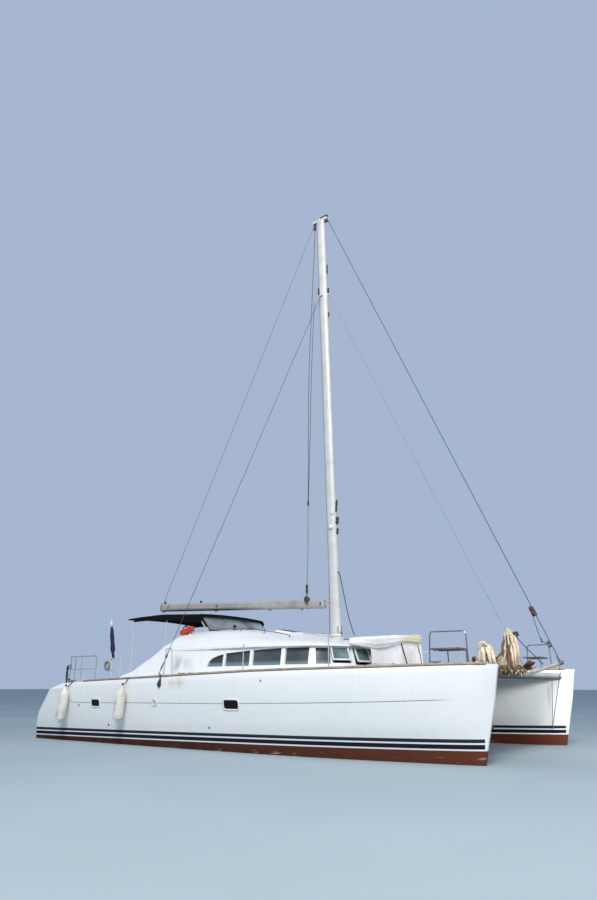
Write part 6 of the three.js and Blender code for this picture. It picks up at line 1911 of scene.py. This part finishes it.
# Dark curtain inside the front windows that stand open
CURTAIN_X, CURTAIN_Y, CURTAIN_Z = 2.62, (-1.90, -0.82), (1.70, 2.11)
CURTAIN_BOW = 0.36


def make_curtain():
    rows = []
    for z in steps(*CURTAIN_Z, 8):
        row = []
        for y in steps(*CURTAIN_Y, 80):
            bow = -CURTAIN_BOW * ((abs(y) + CURTAIN_Y[1]) / (CURTAIN_Y[1] - CURTAIN_Y[0])) ** 2
            pleat = 0.012 * math.sin(52 * y + 0.6 * ripple((y, z, 0), 3))
            row.append(Vector((CURTAIN_X + bow + pleat, y, z)))
        rows.append(row)
    curtain = Shape().grid(rows).piece("window_curtain", "curtain", angle=CLOTH_ANGLE)
    Shape().tube([p + UP * 0.004 for p in rows[-1][::8]], 0.008, 8).piece("curtain_rail", "plastic")


# Cockpit, with its bulkhead, door handle and helm

BULKHEAD_X = -1.635
# Centre, size and corner radius of the bulkhead's lights
BULKHEAD_LIGHTS = [(0.85, 1.88, 1.00, 0.64, 0.03), (-1.11, 1.88, 0.58, 0.64, 0.03)]
BULKHEAD_RIM, BULKHEAD_RISE = 0.030, 0.010
# The door's two faces, the middle of its port stile, and its inside handle: height and rise
DOOR_OUTSIDE, DOOR_INSIDE, DOOR_STILE = -1.585, -1.557, 0.045
HANDLE_BOW = [(1.52, 0.0), (1.54, 0.022), (1.62, 0.028), (1.74, 0.028), (1.82, 0.022), (1.84, 0.0)]
# Dials on the helm's sloped face, [y, z, radius], and their section [out, radius]
DIALS = [(0.90, 1.70, 0.045), (1.26, 1.70, 0.045), (1.26, 1.58, 0.035), (0.90, 1.58, 0.035)]
COMPASS_Y, LEVERS_Y = 1.08, (1.30, 1.345)
COMPASS = [(0, 0.070), (0.020, 0.070), (0.028, 0.062), (0.045, 0.058), (0.068, 0.045), (0.082, 0.022),
           (0.086, 0.004)]
LEVER_KNOB = [(0, 0.006), (0.006, 0.014), (0.020, 0.016), (0.030, 0.010)]


def on_bulkhead(y, z, lift):
    return Vector((BULKHEAD_X - lift, y, z))


def make_bulkhead_gear():
    for k, form in enumerate(BULKHEAD_LIGHTS):
        light(f"bulkhead_light_{k + 1}", on_bulkhead, form, BULKHEAD_RIM, BULKHEAD_RISE, pane=False)
    handle = Shape().tube([(DOOR_INSIDE + rise, DOOR_STILE, z) for z, rise in HANDLE_BOW], 0.007, 10)
    handle.block((DOOR_INSIDE + 0.002, DOOR_STILE, 1.46), (0.008, 0.045, 0.09), bevel=0.003)
    handle.block((DOOR_OUTSIDE - 0.0005, DOOR_STILE, 1.66), (0.003, 0.040, 0.20), bevel=0.001)
    handle.piece("saloon_door_handle", "tube_steel", "saloon_door_body")


def make_helm_gear():
    helm = surface_of("helm_console")
    low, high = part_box("helm_console")
    middle = (low.x + high.x) / 2
    dials = Shape()
    for y, z, r in DIALS:
        spot = helm.ray_cast(Vector((-4.0, y, z)), AHEAD)[0]
        section = [(0, r), (0.010, r), (0.013, r * 0.86), (0.008, r * 0.84), (0.008, 0.002)]
        dials.lathe(spot + AHEAD * 0.002, -AHEAD, section, 24)
    dials.piece("helm_dials", "casting")
    Shape().lathe(down_on(helm, middle, COMPASS_Y), UP, COMPASS, 28).piece("helm_compass", "casting")
    levers = Shape()
    for y in LEVERS_Y:
        base = down_on(helm, middle, y)
        rod = [base, base + Vector((-0.03, 0, 0.07)), base + Vector((-0.045, 0, 0.125))]
        levers.tube(rod, [0.009, 0.006, 0.006], 10)
        levers.lathe(base + Vector((-0.048, 0, 0.118)), (-0.2, 0, 1), LEVER_KNOB, 14)
    levers.piece("helm_levers", "tube_steel")


# Cushions in the saloon and the cockpit: name, and range in x, y and z

BENCH_X, BENCH_Z = (-4.36, -3.80), (1.272, 1.357)
SETTEE_Z = (1.127, 1.250)
SETTEE_SIDE_Y, SETTEE_FRONT_X = (-1.448, -0.955), (1.402, 1.895)
BENCH_CUSHIONS = [
    ("cockpit_cushion_1", BENCH_X, (-1.46, -0.50), BENCH_Z),
    ("cockpit_cushion_2", BENCH_X, (-0.48, 0.48), BENCH_Z),
    ("cockpit_cushion_3", BENCH_X, (0.50, 1.46), BENCH_Z),
]
SETTEE_CUSHIONS = [
    ("settee_cushion_1", (-0.298, 0.257), SETTEE_SIDE_Y, SETTEE_Z),
    ("settee_cushion_2", (0.267, 0.822), SETTEE_SIDE_Y, SETTEE_Z),
    ("settee_cushion_3", (0.832, 1.387), SETTEE_SIDE_Y, SETTEE_Z),
    ("settee_cushion_corner", SETTEE_FRONT_X, SETTEE_SIDE_Y, SETTEE_Z),
    ("settee_cushion_side_1", SETTEE_FRONT_X, (-0.945, -0.275), SETTEE_Z),
    ("settee_cushion_side_2", SETTEE_FRONT_X, (-0.265, 0.405), SETTEE_Z),
    ("settee_cushion_side_3", SETTEE_FRONT_X, (0.415, 1.085), SETTEE_Z),
]
# Centre and size of the settee's boxes and its back
SETTEE_BLOCKS = [
    ((0.800, -1.200, 0.985), (2.196, 0.496, 0.280)),
    ((1.650, 0.075, 0.985), (0.496, 2.044, 0.280)),
    ((1.950, -0.175, 1.170), (0.092, 2.546, 0.650)),
]


def make_cushion(name, x, y, z):
    """A crowned pad with rounded sides; x, y and z are its ranges."""
    centre = Vector((sum(x) / 2, sum(y) / 2, 0))
    width, length, height = x[1] - x[0], y[1] - y[0], z[1] - z[0]
    rows = []
    for k in range(-7, 8):
        rise = k / 7
        inset = 0.5 * height * (1 - math.sqrt(max(0.0, 1 - abs(rise) ** 3.2)))
        level = z[0] + height * (0.5 + 0.40 * rise)
        outline = rounded(centre.x, centre.y, width - 2 * inset, length - 2 * inset, 0.05, 5)
        rows.append([Vector((u, v, level)) for u, v in outline])
    top = rows[-1]
    centre.z = top[0].z
    for inner in (0.85, 0.55, 0.2):
        crown = UP * (0.10 * height * (1 - inner ** 2))
        rows.append([centre + (p - centre) * inner + crown for p in top])
    pad = Shape().grid(rows, closed=True, caps=True).piece(name, "cushion", angle=CLOTH_ANGLE)


def make_settee():
    wood = Shape()
    for centre, size in SETTEE_BLOCKS:
        wood.block(centre, size, bevel=0.008)
    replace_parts(wood.piece("settee_base", "teak"), "settee")


# Stage

FLOOR_SIZE = 400
FLOOR_COLOURS = (0.30, 0.37, 0.40), (0.35, 0.42, 0.45)
SKY, SKY_STRENGTH = (0.45, 0.555, 0.745, 1), 0.85
LAMP_COLOUR = (1.0, 0.975, 0.94)
# name, place, aim, size, power, spread in degrees
LAMPS = [
    ("key", (17, -26, 25), (0, 0, 2), 12, 13800, 180),
    ("fill", (14.5, -2.5, 3.3), (4.8, 1.9, 1.0), 2, 46, 40),
]


def make_stage():
    """A pale floor at the waterline, a pale sky, one large soft light and a small one at the bows."""
    paint = Paint("floor", rough=0.9)
    paint.colour(paint.mix(paint.mask(paint.noise(0.15, 3), 0.3, 0.7), *FLOOR_COLOURS))
    bpy.ops.mesh.primitive_plane_add(size=FLOOR_SIZE, location=(0, 0, 0))
    floor = bpy.context.object
    floor.name = "floor"
    floor.data.materials.append(paint.material)
    world = bpy.data.worlds.new("sky")
    bpy.context.scene.world = world
    world.use_nodes = True
    sky = world.node_tree.nodes["Background"]
    sky.inputs["Color"].default_value = SKY
    sky.inputs["Strength"].default_value = SKY_STRENGTH
    for name, place, aim, size, power, angle in LAMPS:
        data = bpy.data.lights.new(name, "AREA")
        data.size = size
        data.energy = power
        data.color = LAMP_COLOUR
        data.spread = math.radians(angle)
        lamp = bpy.data.objects.new(name, data)
        bpy.context.scene.collection.objects.link(lamp)
        lamp.visible_camera = False
        lamp.visible_glossy = name == "key"
        lamp.location = place
        lamp.rotation_euler = (Vector(place) - Vector(aim)).to_track_quat("Z", "Y").to_euler()


make_camera()
for start, look in NODE_LOOKS.items():
    for name in NODES:
        if name.startswith(start):
            dress(name, look)
make_canopy()
make_canopy_sleeves()
make_screen()
make_awning()
make_cover_straps(make_cover())
for name, side in SIDES.items():
    make_trampoline(name, side)
make_sail()
make_sail_folds()
make_bundle()
make_flag()
make_lifebuoy()
make_stern_frame()
make_coil()
make_hank()
for name in FENDERS:
    make_fender(name)
for name, side in SIDES.items():
    make_toe_rails(name, side)
    make_portlights(name, side)
    make_shroud(name, side)
    make_seat(name, side)
    make_deck_cleats(name, side)
    make_winch(name)
    make_led_lines(name, side)
    make_roof_rail(name, side)
for name, side in SIDES.items():
    for kind in LIDS:
        make_lid(kind, name, side)
make_ajar_frames()
make_fittings()
make_boom_gear()
make_mast_track()
make_mast_collars()
make_mast_cleats()
make_mast_lamps()
make_curtain()
make_bulkhead_gear()
for cushion in BENCH_CUSHIONS:
    make_cushion(*cushion)
make_helm_gear()
make_settee()
for cushion in SETTEE_CUSHIONS:
    make_cushion(*cushion)
make_stage()
